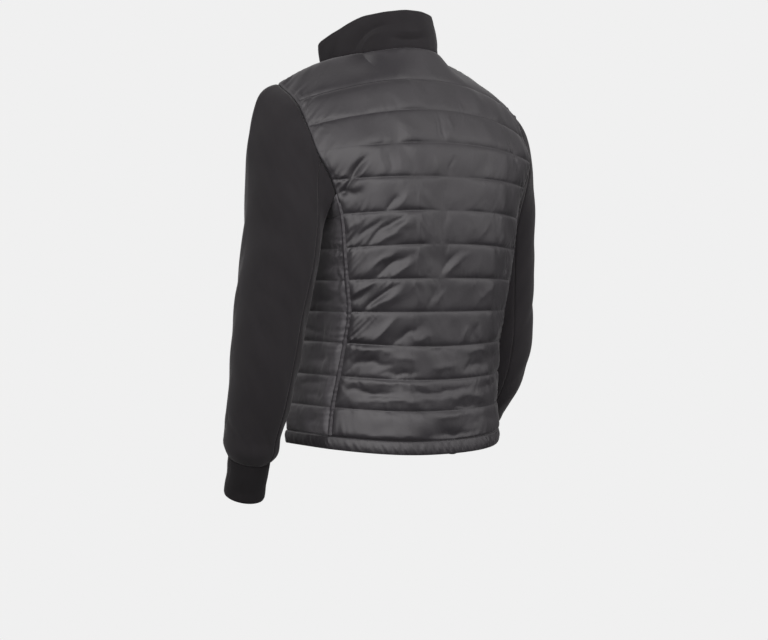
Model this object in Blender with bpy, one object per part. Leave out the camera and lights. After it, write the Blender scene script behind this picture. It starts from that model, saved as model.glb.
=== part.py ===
"""Quilted jacket with softshell sleeves, in its worn form, as thin cloth walls.

Frame: metres, +Z up.  The wearer faces -Y and the wearer's left is +X.  The origin is
the middle of the neck opening, level with the points where the shoulder seams meet the
collar, which is where the jacket hangs from the shoulders.

The torso is a loft through rows.  Row 0 is the neck and shoulder line, rows 1 to 11 are
the quilting lines, row 12 is the hem seam and row 13 the bottom edge.  Each panel's wall
is plain inside and raised outside between the quilting lines, and carries its broad folds.
"""
import math
from collections import namedtuple

import bpy
import numpy as np

MM = 0.001

# ---- driving dimensions ------------------------------------------------------------
QUILTED_WALL = 0.0025       # shell, wadding at the stitch line and inside cloth
SOFTSHELL_WALL = 0.0020     # sleeves
CUFF_WALL = 0.0024
COLLAR_WALL = 0.0030        # two layers of softshell
TAPE_WALL = 0.0012          # zip tape
BINDING_WALL = 0.0024       # folded hem band
BINDING_BULGE = 0.0022
SEAM_GAP = 0.0003           # between neighbouring pieces
SLEEVE_GAP = 0.0004         # along the sleeves, where the cloth twists most
ARMHOLE_GAP = 0.0002        # between the sleeve head and the torso's own trimmed edge
PUFF = 0.0036               # height of a quilted channel over its stitch lines
CHANNEL_FLATNESS = 3.0      # higher is flatter on top
FULL_CHANNEL = 0.050        # a lower channel puffs less
ROW_PITCH = 0.056           # from one quilting line to the next
HEM_ROW = 12
BOTTOM_ROW = 13
ARMPIT_ROW = 4.4            # where the side panels start
STEPS_PER_CHANNEL = 3

NECK_HALF_WIDTH = 0.076
NECK_BACK_DEPTH = 0.062
NAPE_RISE = 0.008
NECK_CORNER = (0.070, -0.113, -0.042)     # left front corner of the neck seam
SHOULDER_TIP = (0.232, -0.018, -0.061)    # left end of the shoulder seam
SHOULDER_CROWN = 0.010
NECK_SHARE = 0.40           # share of a panel's width that ends in the neck seam
NECK_SPANS = 5
SHOULDER_SPANS = 6
SEAM_MARGIN = 0.035         # share of the width left flat beside a seam
NECK_CORNER_PULL = (0.100, 0.050, 0.060)  # the neck seam's curve leaves its corner this way
NECK_POINT_PULL = (-0.060, 0.100, 0.010)  # and reaches the neck point this way

# Back panel.  mid_* is the centre back and edge_* the side-back seam, or the armhole on
# rows 1 to 4.  squareness says how flat the row is in plan.
BackRow = namedtuple("BackRow", "row mid_z mid_y edge_x edge_y edge_z squareness")
BACK_ROWS = [BackRow(*sizes) for sizes in (
    (1, -0.050, 0.094, 0.2315, 0.037, -0.096, 2.2),
    (2, -0.103, 0.122, 0.2290, 0.067, -0.138, 2.5),
    (3, -0.159, 0.139, 0.2250, 0.090, -0.181, 3.0),
    (4, -0.216, 0.147, 0.2030, 0.098, -0.226, 3.4),
    (5, -0.272, 0.149, 0.1860, 0.101, -0.281, 3.4),
    (6, -0.328, 0.147, 0.1790, 0.100, -0.336, 3.4),
    (7, -0.385, 0.141, 0.1720, 0.097, -0.388, 3.4),
    (8, -0.441, 0.135, 0.1640, 0.092, -0.440, 3.4),
    (9, -0.499, 0.131, 0.1640, 0.079, -0.491, 3.4),
    (10, -0.555, 0.131, 0.1680, 0.067, -0.546, 3.4),
    (11, -0.607, 0.134, 0.1730, 0.057, -0.598, 3.4),
    (12, -0.656, 0.137, 0.1780, 0.056, -0.645, 3.4),
    (13, -0.679, 0.138, 0.1785, 0.056, -0.667, 3.4),
)]

# Left front panel.  open_* is the edge beside the zip and edge_* the side-front seam, or
# the armhole on rows 1 to 4.
FrontRow = namedtuple("FrontRow", "row open_x open_y open_z edge_x edge_y edge_z squareness")
FRONT_ROWS = [FrontRow(*sizes) for sizes in (
    (1, 0.067, -0.118, -0.055, 0.2240, -0.058, -0.094, 2.2),
    (2, 0.050, -0.131, -0.108, 0.2130, -0.078, -0.136, 2.6),
    (3, 0.028, -0.140, -0.162, 0.2020, -0.087, -0.180, 3.0),
    (4, 0.012, -0.145, -0.218, 0.1880, -0.089, -0.226, 3.2),
    (5, 0.012, -0.147, -0.274, 0.1740, -0.088, -0.281, 3.2),
    (6, 0.012, -0.146, -0.330, 0.1680, -0.086, -0.336, 3.2),
    (7, 0.012, -0.143, -0.386, 0.1630, -0.083, -0.388, 3.2),
    (8, 0.012, -0.140, -0.442, 0.1600, -0.081, -0.440, 3.2),
    (9, 0.012, -0.138, -0.497, 0.1620, -0.080, -0.491, 3.2),
    (10, 0.012, -0.138, -0.553, 0.1670, -0.082, -0.546, 3.2),
    (11, 0.012, -0.139, -0.605, 0.1710, -0.084, -0.598, 3.2),
    (12, 0.012, -0.140, -0.654, 0.1730, -0.085, -0.645, 3.2),
    (13, 0.012, -0.140, -0.677, 0.1735, -0.085, -0.667, 3.2),
)]

# How far the arm presses each row of the side panel in.
Press = namedtuple("Press", "row hollow")
SIDE_ROWS = [Press(*sizes) for sizes in (
    (4, 0.018), (5, 0.016), (6, 0.008), (7, 0.001), (8, 0.0), (13, 0.0),
)]
SIDE_STATIONS = (0.0, 0.08, 0.22, 0.4, 0.6, 0.78, 0.92, 1.0)
SIDE_BOW = 0.22
SIDE_FLAT_ROWS = 0.3        # the side panel's top edge has no padding
UNDERARM_DIP = 0.016
DIP_STEPS = 3               # rows of points that the dip takes to fade

# Broad folds: from one place on a panel to another, across in mm from the panel's middle
# (towards the wearer's left on the back, away from the zip on a front, towards the front
# on a side) and down by rows; half width and height in mm, below nothing for a trough.
Fold = namedtuple("Fold", "across row to_across to_row half_width height")
FOLDS = {
    "back_panel": [Fold(*sizes) for sizes in (
        (12, 3.6, 8, 8.6, 38, -3.4), (172, 4.2, 152, 3.5, 15, -3.6),
        (150, 5.9, 92, 5.2, 15, -3.4), (138, 6.9, 84, 6.2, 15, -3.4),
        (148, 7.9, 98, 7.2, 15, -3.4), (128, 9.0, 40, 8.4, 14, -2.6),
        (150, 10.34, -140, 10.26, 13, -3.8), (44, 11.1, 40, 11.8, 26, 2.4),
        (-100, 11.2, -30, 11.6, 20, -2.2), (-90, 9.3, -130, 9.5, 14, -2.4),
    )],
    "front_left": [Fold(*sizes) for sizes in (
        (60, 4.5, 44, 3.8, 14, -2.6), (60, 5.9, 30, 5.3, 15, -2.8),
        (56, 7.8, 20, 7.2, 15, -2.6), (56, 10.35, -46, 10.25, 13, -3.2),
    )],
    "front_right": [Fold(*sizes) for sizes in (
        (58, 4.5, 42, 3.7, 14, -2.4), (58, 6.9, 28, 6.4, 15, -2.8),
        (54, 8.8, 16, 8.4, 15, 2.4), (54, 10.3, -44, 10.2, 13, -3.0),
    )],
    "side_panel_left": [Fold(*sizes) for sizes in (
        (-46, 6.4, 6, 6.6, 14, -2.4), (-40, 8.6, 36, 8.5, 15, -2.2), (30, 10.3, -40, 10.25, 13, -2.6),
    )],
    "side_panel_right": [Fold(*sizes) for sizes in (
        (-46, 6.5, 8, 6.6, 14, -2.2), (-38, 8.7, 30, 8.5, 15, -2.0), (26, 10.3, -40, 10.2, 13, -2.6),
    )],
}
FOLD_FADE = 0.035           # folds are gone at this distance from an edge

# Sleeves: the middle of each ring, and its half sizes across the arm and fore and aft.
Ring = namedtuple("Ring", "x y z across fore_aft")
LEFT_SLEEVE = [Ring(*sizes) for sizes in (
    (0.2450, 0.018, -0.300, 0.0580, 0.0800),
    (0.2490, 0.016, -0.345, 0.0580, 0.0785),
    (0.2570, 0.005, -0.421, 0.0575, 0.0720),
    (0.2625, -0.006, -0.503, 0.0555, 0.0655),
    (0.2635, -0.026, -0.585, 0.0505, 0.0580),
    (0.2630, -0.046, -0.640, 0.0465, 0.0510),
    (0.2617, -0.057, -0.673, 0.0440, 0.0470),
    (0.2611, -0.0615, -0.686, 0.0355, 0.0380),
)]
RIGHT_SLEEVE = [Ring(*sizes) for sizes in (
    (0.2380, -0.012, -0.300, 0.0560, 0.0770),
    (0.2420, -0.018, -0.345, 0.0570, 0.0755),
    (0.2490, -0.024, -0.415, 0.0570, 0.0705),
    (0.2530, -0.027, -0.490, 0.0550, 0.0640),
    (0.2520, -0.043, -0.552, 0.0520, 0.0590),
    (0.2480, -0.074, -0.603, 0.0480, 0.0530),
    (0.2440, -0.108, -0.638, 0.0445, 0.0480),
    (0.2432, -0.120, -0.6475, 0.0355, 0.0380),
)]
ARMHOLE_CENTRE = (0.008, -0.165)          # y and z
CAP_SPANS = 6
ARM_SPANS = 10
CAP_SPRING = {"left": 1.00, "right": 0.70}     # pull of the sleeve head, over its length
UNDERARM_SPRING = 0.25
ARM_SPRING = 0.9
HEAD_LEAVES = (1.0, 0.0, -0.08)           # how the sleeve head leaves the shoulder
HEAD_FOLLOWS_TORSO = 0.3
HEAD_TURN = 1.5
UNDERARM_LEAVES = (0.45, 0.0, -0.90)
SEAM_ROW = 10 / 3           # where the hind-arm and fore-arm seams leave the armhole

CUFF_LENGTH = 0.068
CUFF_HALF_SIZE = (0.0350, 0.0375)
CUFF_END_SIZE = (0.0340, 0.0365)
CUFF_COLUMNS = 28
CUFF_SPANS = 3

# Collar: how its top edge stands off the neck seam.
CollarTop = namedtuple("CollarTop", "station out back rise")
COLLAR_TOP = [CollarTop(*sizes) for sizes in (
    (0.0, 0.000, -0.010, 0.0665),         # nape
    (0.6, -0.005, -0.009, 0.0655),
    (1.0, -0.005, -0.006, 0.0640),        # neck point
    (1.5, 0.006, -0.004, 0.0500),
    (2.0, 0.030, 0.015, 0.0585),          # front corner
)]
COLLAR_SPANS_ROUND = 11
COLLAR_SPANS_UP = 4
COLLAR_BULGE = 0.003
COLLAR_LIFT = 0.00045       # off the neck seam

BINDING_LIFT = 0.0004
BINDING_ROUNDNESS = 0.5
TAPE_WIDTH = 0.0088
TAPE_GAP = 0.0008           # the front edge rolls over its stitching here
TAPE_SINK = 0.0004
STRAP_HALF_WIDTH = 0.0042
STRAP_WALL = 0.0012
STRAP_LIFT = 0.0004
STRAP_END_GAP = 0.0008

# Zip slider and its pull tab, in the slider's own frame: x across, y out, z up the zip.
SLIDER_ROW = 4.15
SLIDER_REACH = 0.1          # rows above and below that give the zip's lean there
SLIDER_STAND = 0.0004       # of its middle behind the zip edge
SLIDER_CLEAR = 0.00045      # between each plate and the tapes
SLIDER_LENGTH = 0.0110
SLIDER_PLATE = 0.0012
SLIDER_HALF_WIDTH = 0.0046
SLIDER_POST = 0.0010
BRIDGE_HALF_WIDTH = 0.0012
BRIDGE_LENGTH = 0.0086
BRIDGE_WINDOW = 0.0058
BRIDGE_CLEAR = 0.0023
BRIDGE_THICK = 0.0009
TAB_ARM_INNER = 0.0016
TAB_HALF_WIDTH = 0.0036
TAB_THICK = 0.0012
TAB_BAR = 0.0006
TAB_HOLE = 0.0064
TAB_LENGTH = 0.0270
TAB_CORNER = 0.0016


# ---- small geometry helpers ----------------------------------------------------------
def unit(vectors):
    length = np.linalg.norm(vectors, axis=-1, keepdims=True)
    return vectors / np.maximum(length, 1e-12)


def smooth_through(stations, values, wanted):
    """Cubic through values at rising stations, read at the wanted stations."""
    stations = np.asarray(stations, float)
    values = np.asarray(values, float)
    slopes = np.gradient(values, stations, axis=0)
    wanted = np.atleast_1d(wanted)
    index = np.searchsorted(stations, wanted, side="right") - 1
    index = np.clip(index, 0, len(stations) - 2)
    shape = (-1,) + (1,) * (values.ndim - 1)
    step = (stations[index + 1] - stations[index]).reshape(shape)
    t = (wanted - stations[index]).reshape(shape) / step
    return hermite(
        values[index], step * slopes[index], values[index + 1], step * slopes[index + 1], t
    )


def hermite(start, start_pull, end, end_pull, t):
    return (
        (2 * t**3 - 3 * t**2 + 1) * start
        + (t**3 - 2 * t**2 + t) * start_pull
        + (3 * t**2 - 2 * t**3) * end
        + (t**3 - t**2) * end_pull
    )


def grid_normals(grid):
    """Unit normals of an open grid of points."""
    along = np.gradient(grid, axis=0)
    across = np.gradient(grid, axis=1)
    return unit(np.cross(along, across))


def tube_normals(grid):
    """Unit normals of a grid whose columns run all the way round."""
    along = np.gradient(grid, axis=0)
    across = np.roll(grid, -1, axis=1) - np.roll(grid, 1, axis=1)
    return unit(np.cross(along, across))


def mirrored(points):
    return points * np.array([-1.0, 1.0, 1.0])


def signed_volume(points, faces):
    total = 0.0
    for face in faces:
        first = points[face[0]]
        for i in range(1, len(face) - 1):
            total += np.dot(first, np.cross(points[face[i]], points[face[i + 1]]))
    return total / 6.0


# ---- materials and objects -----------------------------------------------------------
def make_material(name, colour, roughness, metallic=0.0):
    material = bpy.data.materials.new(name)
    material.use_nodes = True
    surface = material.node_tree.nodes["Principled BSDF"]
    surface.inputs["Base Color"].default_value = (*colour, 1.0)
    surface.inputs["Roughness"].default_value = roughness
    surface.inputs["Metallic"].default_value = metallic
    return material


def add_solid(name, points, faces, material):
    """One closed object, its faces turned outward."""
    if signed_volume(points, faces) < 0:
        faces = [tuple(reversed(face)) for face in faces]
    mesh = bpy.data.meshes.new(name)
    mesh.from_pydata([tuple(p) for p in points], [], faces)
    mesh.materials.append(material)
    solid = bpy.data.objects.new(name, mesh)
    bpy.context.scene.collection.objects.link(solid)
    return solid


def wall_between(name, outer, inner, material, around=False):
    """A cloth wall between two grids; around joins the last column to the first."""
    rows, columns = outer.shape[:2]
    points = np.concatenate([outer.reshape(-1, 3), inner.reshape(-1, 3)])
    half = rows * columns
    spans = columns if around else columns - 1
    faces = []
    for i in range(rows - 1):
        for j in range(spans):
            k = (j + 1) % columns
            face = (i * columns + j, i * columns + k, (i + 1) * columns + k, (i + 1) * columns + j)
            faces.append(face)
            faces.append(tuple(half + corner for corner in reversed(face)))
    for i, last in ((0, False), (rows - 1, True)):
        for j in range(spans):
            a, b = i * columns + j, i * columns + (j + 1) % columns
            face = (half + a, half + b, b, a)
            faces.append(tuple(reversed(face)) if last else face)
    if not around:
        for j, last in ((0, False), (columns - 1, True)):
            for i in range(rows - 1):
                a, b = i * columns + j, (i + 1) * columns + j
                face = (a, b, half + b, half + a)
                faces.append(tuple(reversed(face)) if last else face)
    solid = add_solid(name, points, faces, material)
    solid.data.shade_smooth()
    return solid


# ---- torso surface --------------------------------------------------------------------
def neck_back(turn):
    """Back of the neck seam; turn 0 is the nape and 1 the left neck point."""
    angle = np.asarray(turn) * math.pi / 2
    return np.stack([
        NECK_HALF_WIDTH * np.sin(angle),
        NECK_BACK_DEPTH * np.cos(angle),
        NAPE_RISE * np.cos(angle) ** 2,
    ], axis=-1)


NECK_POINT = neck_back(1.0)


def neck_front(turn):
    """Front of the left neck seam; turn 0 is the front corner and 1 the neck point."""
    turn = np.asarray(turn)[..., None]
    start, start_pull = np.array(NECK_CORNER), np.array(NECK_CORNER_PULL)
    return hermite(start, start_pull, NECK_POINT, np.array(NECK_POINT_PULL), turn)


def shoulder_seam(turn):
    """Left shoulder seam; turn 0 is the neck point and 1 the shoulder tip."""
    turn = np.asarray(turn)[..., None]
    line = NECK_POINT * (1 - turn) + np.array(SHOULDER_TIP) * turn
    return line + np.array([0, 0, SHOULDER_CROWN]) * np.sin(np.pi * turn)


def back_row(row, side):
    """One row of the back; side runs from 0, the centre back, to 1, the left edge."""
    return np.stack([
        row.edge_x * side,
        row.mid_y - (row.mid_y - row.edge_y) * side**row.squareness,
        row.mid_z + (row.edge_z - row.mid_z) * side**2,
    ], axis=-1)


def front_row(row, side):
    """One row of the left front; side runs from 0, beside the zip, to 1, the edge."""
    return np.stack([
        row.open_x + (row.edge_x - row.open_x) * side,
        row.open_y - (row.open_y - row.edge_y) * side**row.squareness,
        row.open_z + (row.edge_z - row.open_z) * side**2,
    ], axis=-1)


def side_stations():
    """Column stations from the middle to the edge of a back or front panel."""
    under_neck = np.linspace(0, NECK_SHARE, NECK_SPANS + 1)
    under_shoulder = np.linspace(NECK_SHARE, 1, SHOULDER_SPANS + 1)[1:]
    return np.insert(np.concatenate([under_neck, under_shoulder]), -1, 1 - SEAM_MARGIN)


def top_row(neck_curve, stations):
    on_neck = neck_curve(np.clip(stations / NECK_SHARE, 0, 1))
    on_shoulder = shoulder_seam(np.clip((stations - NECK_SHARE) / (1 - NECK_SHARE), 0, 1))
    return np.where((stations <= NECK_SHARE)[:, None], on_neck, on_shoulder)


def row_stations():
    """Rows at every third of a channel, with the armpit row among them."""
    rows = np.arange(0, BOTTOM_ROW * STEPS_PER_CHANNEL + 1) / STEPS_PER_CHANNEL
    rows = rows[np.abs(rows - ARMPIT_ROW) > 0.1]
    return np.sort(np.append(rows, ARMPIT_ROW))


def channel_puff(rows):
    """0 on a quilting line and 1 in the middle of a channel."""
    share = rows - np.floor(rows + 1e-9)
    return 1 - np.abs(2 * share - 1) ** CHANNEL_FLATNESS


def step_off(seam, neighbours, distance):
    """A seam's points moved square to it, towards their neighbours."""
    along = unit(np.gradient(seam, axis=0))
    aside = neighbours - seam
    aside = aside - along * np.sum(aside * along, axis=1, keepdims=True)
    return seam + unit(aside) * distance


class Panel:
    """A grid of points with normals; edges can be pulled back from a seam."""

    def __init__(self, points, normals):
        self.points = points
        self.normals = normals

    def fold(self, rows, folds):
        """Broad folds of the whole wall, faded out at the long edges and the ends."""
        steps = np.linalg.norm(np.diff(self.points, axis=1), axis=2)
        across = np.concatenate([np.zeros((len(rows), 1)), np.cumsum(steps, axis=1)], axis=1)
        width = across[:, -1:]
        down = np.broadcast_to(rows[:, None] * ROW_PITCH, across.shape)
        from_end = np.minimum(down - down[0], down[-1] - down)
        from_edge = np.minimum(np.minimum(across, width - across), from_end)
        height = np.zeros_like(across)
        for fold in folds:
            start = np.array([fold.across * MM, fold.row * ROW_PITCH])
            reach = np.array([fold.to_across * MM, fold.to_row * ROW_PITCH]) - start
            place = np.stack([across - width / 2, down], axis=-1) - start
            share = np.clip(place @ reach / (reach @ reach), 0, 1)
            away = np.linalg.norm(place - share[..., None] * reach, axis=-1)
            height += fold.height * MM * np.exp(-((away / (fold.half_width * MM)) ** 2))
        fade = np.clip(from_edge / FOLD_FADE, 0, 1)
        self.points = self.points + self.normals * (height * fade)[..., None]

    def solid(self, name, raised, wall, material, trims, gap=SEAM_GAP):
        """trims names the sides to pull back: first_row, last_row, first_column, last_column."""
        points = self.points.copy()
        half = gap / 2
        if "first_row" in trims:
            points[0] = step_off(self.points[0], self.points[1], half)
        if "last_row" in trims:
            points[-1] = step_off(self.points[-1], self.points[-2], half)
        if "first_column" in trims:
            points[:, 0] = step_off(points[:, 0], points[:, 1], half)
        if "last_column" in trims:
            points[:, -1] = step_off(points[:, -1], points[:, -2], half)
        outer = points + self.normals * raised[..., None]
        inner = points - self.normals * wall
        return wall_between(name, outer, inner, material)


class Torso:
    """Points and normals of the left half of the torso."""

    def __init__(self):
        stations = side_stations()
        self.stations = stations
        whole = np.arange(BOTTOM_ROW + 1)
        back = [top_row(neck_back, stations)] + [back_row(row, stations) for row in BACK_ROWS]
        front = [top_row(neck_front, stations)] + [front_row(row, stations) for row in FRONT_ROWS]
        self.rows = row_stations()
        self.armpit = int(np.argmin(np.abs(self.rows - ARMPIT_ROW)))
        self.hem = int(np.argmin(np.abs(self.rows - HEM_ROW)))
        self.back = smooth_through(whole, np.array(back), self.rows)
        self.front = smooth_through(whole, np.array(front), self.rows)
        self.side = self.side_grid()
        self.back_normal = -grid_normals(self.back)
        self.back_normal[:, 0, 0] = 0.0
        self.back_normal = unit(self.back_normal)
        self.front_normal = grid_normals(self.front)
        self.side_normal = -grid_normals(self.side)
        self.share_normals()
        self.back_puff = self.puff_of(self.back, self.rows)
        self.back_puff[:, -2:] = 0
        self.front_puff = self.puff_of(self.front, self.rows)
        self.front_puff[:, -2:] = 0
        self.front_puff[:, 0] = 0
        side_rows = self.rows[self.armpit:]
        self.side_puff = self.puff_of(self.side, side_rows)
        self.side_puff *= np.clip((side_rows - ARMPIT_ROW) / SIDE_FLAT_ROWS, 0, 1)[:, None]
        self.side_puff[:, :2] = 0
        self.side_puff[:, -2:] = 0

    def side_grid(self):
        back_edge = self.back[self.armpit:, -1]
        front_edge = self.front[self.armpit:, -1]
        reach = np.linalg.norm(back_edge - front_edge, axis=1)[:, None] * SIDE_BOW
        back_pull = unit(back_edge - self.back[self.armpit:, -3]) * reach
        front_pull = unit(self.front[self.armpit:, -3] - front_edge) * reach
        t = np.array(SIDE_STATIONS)[None, :, None]
        grid = hermite(
            back_edge[:, None], back_pull[:, None], front_edge[:, None], front_pull[:, None], t
        )
        bow = np.sin(np.pi * np.array(SIDE_STATIONS))
        rows, hollow = np.array(SIDE_ROWS).T
        pressed = np.interp(self.rows[self.armpit:], rows, hollow)
        grid[:, :, 0] -= pressed[:, None] * bow[None]
        for i in range(DIP_STEPS):
            grid[i, :, 2] -= UNDERARM_DIP * bow * (1 - i / DIP_STEPS)
        return grid

    def share_normals(self):
        """Panels that meet at a seam share its normals, so their walls meet edge to edge."""
        lower = slice(self.armpit, None)
        at_back = unit(self.back_normal[lower, -1] + self.side_normal[:, 0])
        self.back_normal[lower, -1] = at_back
        self.side_normal[:, 0] = at_back
        at_front = unit(self.front_normal[lower, -1] + self.side_normal[:, -1])
        self.front_normal[lower, -1] = at_front
        self.side_normal[:, -1] = at_front
        along = unit(np.array(SHOULDER_TIP) - NECK_POINT)
        seam_normal = unit(np.array([0.0, 0.0, 1.0]) - along * along[2])
        on_shoulder = self.stations >= NECK_SHARE
        self.back_normal[0, on_shoulder] = seam_normal
        self.front_normal[0, on_shoulder] = seam_normal

    @staticmethod
    def puff_of(grid, rows):
        """Height of the raised cloth: less where a channel is low."""
        spacing = np.linalg.norm(np.gradient(grid, rows, axis=0), axis=2)
        return PUFF * channel_puff(rows)[:, None] * np.clip(spacing / FULL_CHANNEL, 0, 1)

    def armhole(self):
        """Points, torso normals and outward tangents round the left armhole, from the tip."""
        last = self.armpit + 1
        points = [self.back[:last, -1], self.side[0, 1:-1], self.front[1:last, -1][::-1]]
        normals = [
            self.back_normal[:last, -1],
            self.side_normal[0, 1:-1],
            self.front_normal[1:last, -1][::-1],
        ]
        tangents = [
            unit(self.back[:last, -1] - self.back[:last, -3]),
            unit(self.side[0, 1:-1] - self.side[1, 1:-1]),
            unit(self.front[1:last, -1] - self.front[1:last, -3])[::-1],
        ]
        return [np.concatenate(part) for part in (points, normals, tangents)]


def both_halves(left_half):
    """A centre-back grid made whole: right edge, centre back, left edge."""
    return np.concatenate([mirrored(left_half[:, :0:-1]), left_half], axis=1)


def make_torso(torso, nylon):
    rows_to_hem = slice(0, torso.hem + 1)
    back = Panel(both_halves(torso.back[rows_to_hem]), both_halves(torso.back_normal[rows_to_hem]))
    back.fold(torso.rows[rows_to_hem], FOLDS["back_panel"])
    raised = torso.back_puff[rows_to_hem]
    raised = np.concatenate([raised[:, :0:-1], raised], axis=1)
    trims = ("first_row", "last_row", "first_column", "last_column")
    back.solid("back_panel", raised, QUILTED_WALL, nylon, trims)
    side_hem = torso.hem + 1 - torso.armpit
    for name, turn in (("left", np.array), ("right", mirrored)):
        front = Panel(turn(torso.front[rows_to_hem]), turn(torso.front_normal[rows_to_hem]))
        front.fold(torso.rows[rows_to_hem], FOLDS[f"front_{name}"])
        front_trims = ("first_row", "last_row", "last_column")
        front.solid(
            f"front_{name}", torso.front_puff[rows_to_hem], QUILTED_WALL, nylon, front_trims
        )
        side = Panel(turn(torso.side[:side_hem]), turn(torso.side_normal[:side_hem]))
        side.fold(torso.rows[torso.armpit:torso.hem + 1], FOLDS[f"side_panel_{name}"])
        side.solid(
            f"side_panel_{name}", torso.side_puff[:side_hem], QUILTED_WALL, nylon, trims
        )


def hem_loop(back, side, front):
    """Columns from the left zip edge round the back to the right zip edge."""
    left = np.concatenate([front, side[:, ::-1][:, 1:-1], back[:, ::-1]], axis=1)
    return np.concatenate([left, mirrored(left[:, :-1][:, ::-1])], axis=1)


def make_hem_binding(torso, nylon):
    """A folded band from the hem seam down, all in one strip."""
    rows = slice(torso.hem, None)
    side_rows = slice(torso.hem - torso.armpit, None)
    points = hem_loop(torso.back[rows], torso.side[side_rows], torso.front[rows])
    normals = hem_loop(
        torso.back_normal[rows], torso.side_normal[side_rows], torso.front_normal[rows]
    )
    share = np.clip(torso.rows[rows] - HEM_ROW, 0, 1)
    raised = BINDING_BULGE * np.sin(np.pi * share) ** BINDING_ROUNDNESS + BINDING_LIFT
    raised = np.repeat(raised[:, None], points.shape[1], axis=1)
    Panel(points, normals).solid("hem_binding", raised, BINDING_WALL, nylon, ("first_row",))


def make_seam_straps(torso, nylon):
    """A narrow raised strip over each side-back seam, down to the hem binding."""
    rows = slice(torso.armpit + 1, torso.hem + 1)
    side_rows = slice(1, torso.hem + 1 - torso.armpit)
    seam, seam_normal = torso.back[rows, -1], torso.back_normal[rows, -1]
    on_back = step_off(seam, torso.back[rows, -2], STRAP_HALF_WIDTH)
    on_side = step_off(seam, torso.side[side_rows, 1], STRAP_HALF_WIDTH)
    points = np.stack([on_back, seam, on_side], axis=1)
    normals = np.stack([
        torso.back_normal[rows, -2], seam_normal, torso.side_normal[side_rows, 1]
    ], axis=1)
    raised = np.full(points.shape[:2], STRAP_LIFT + STRAP_WALL)
    for name, turn in (("left", np.array), ("right", mirrored)):
        strap = Panel(turn(points), turn(normals))
        strap.solid(f"seam_strap_{name}", raised, -STRAP_LIFT, nylon, ("last_row",), STRAP_END_GAP)


# ---- sleeves ----------------------------------------------------------------------------
def ring_frames(centres):
    """Across and fore-aft directions of rings set square to the arm's path."""
    along = unit(np.gradient(centres, axis=0))
    across = unit(np.array([1.0, 0, 0]) - along * along[:, :1])
    return across, np.cross(across, along)


def sleeve_grid(torso, table, cap_spring):
    """Columns run round from the shoulder tip by the back; rows run down the arm."""
    points, torso_normals, torso_tangents = torso.armhole()
    angle = np.arctan2(points[:, 1] - ARMHOLE_CENTRE[0], points[:, 2] - ARMHOLE_CENTRE[1])
    table = np.array(table)
    drop = -table[:, 2]
    stations = np.linspace(drop[0], drop[-2], ARM_SPANS)
    stations = np.append(stations, drop[-1])
    rings = smooth_through(drop, table, stations)
    across, fore_aft = ring_frames(rings[:, :3])
    arm = (
        rings[:, None, :3]
        + across[:, None] * (rings[:, 3, None] * np.cos(angle)[None])[..., None]
        + fore_aft[:, None] * (rings[:, 4, None] * np.sin(angle)[None])[..., None]
    )
    reach = np.linalg.norm(arm[0] - points, axis=1)[:, None]
    top = (0.5 + 0.5 * np.cos(angle))[:, None]
    start_pull = unit(
        np.array(HEAD_LEAVES) * top**HEAD_TURN
        + np.array(UNDERARM_LEAVES) * (1 - top)
        + torso_tangents * HEAD_FOLLOWS_TORSO * top
    )
    start_pull *= reach * (UNDERARM_SPRING + (cap_spring - UNDERARM_SPRING) * top)
    end_pull = unit(arm[1] - arm[0]) * reach * ARM_SPRING
    t = np.linspace(0, 1, CAP_SPANS + 1)[:, None, None]
    cap = hermite(points[None], start_pull[None], arm[0][None], end_pull[None], t)
    grid = np.concatenate([cap[:-1], arm])
    normals = tube_normals(grid)
    leave = unit(torso_tangents + unit(start_pull))
    meet = unit(torso_normals + normals[0])
    meet = unit(meet - leave * np.sum(meet * leave, axis=1, keepdims=True))
    return grid, normals, leave, meet


def make_sleeve(torso, name, table, turn, softshell):
    grid, normals, leave, meet = sleeve_grid(torso, table, CAP_SPRING[name])
    grid[0] += leave * ARMHOLE_GAP
    normals[0] = meet
    normals[1] = unit(normals[0] + normals[1] + normals[2])
    columns = grid.shape[1]
    hind = int(np.argmin(np.abs(torso.rows - SEAM_ROW)))
    fore = columns - hind
    pieces = {
        f"under_sleeve_{name}": np.arange(hind, fore + 1),
        f"top_sleeve_{name}": np.arange(fore, columns + hind + 1) % columns,
    }
    for piece, chosen in pieces.items():
        panel = Panel(turn(grid[:, chosen]), turn(normals[:, chosen]))
        raised = np.zeros(panel.points.shape[:2])
        trims = ("first_column", "last_column", "last_row")
        panel.solid(piece, raised, SOFTSHELL_WALL, softshell, trims, SLEEVE_GAP)


def make_cuff(name, table, turn, knit):
    """A plain band that carries on along the forearm."""
    table = np.array(table)
    start, before = table[-1, :3], table[-2, :3]
    along = unit(start - before)
    across = unit(np.array([1.0, 0, 0]) - along * along[0])
    fore_aft = np.cross(across, along)
    angle = np.linspace(0, 2 * math.pi, CUFF_COLUMNS, endpoint=False)
    rows = []
    for share in np.linspace(0, 1, CUFF_SPANS + 1):
        half = np.array(CUFF_HALF_SIZE) * (1 - share) + np.array(CUFF_END_SIZE) * share
        middle = start + along * (SEAM_GAP + CUFF_LENGTH * share)
        rows.append(
            middle
            + across * (half[0] * np.cos(angle))[:, None]
            + fore_aft * (half[1] * np.sin(angle))[:, None]
        )
    outer = np.array(rows)
    inner = outer - tube_normals(outer) * CUFF_WALL
    wall_between(f"cuff_{name}", turn(outer), turn(inner), knit, around=True)


# ---- collar -------------------------------------------------------------------------------
def collar_half():
    """Base and top of the left half of the collar, from the nape to the front corner."""
    station = np.linspace(0, 2, COLLAR_SPANS_ROUND + 1)
    base = np.where(
        (station <= 1)[:, None],
        neck_back(np.clip(station, 0, 1)),
        neck_front(np.clip(2 - station, 0, 1)),
    )
    table = np.array(COLLAR_TOP)
    return base, base + smooth_through(table[:, 0], table[:, 1:], station)


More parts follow.
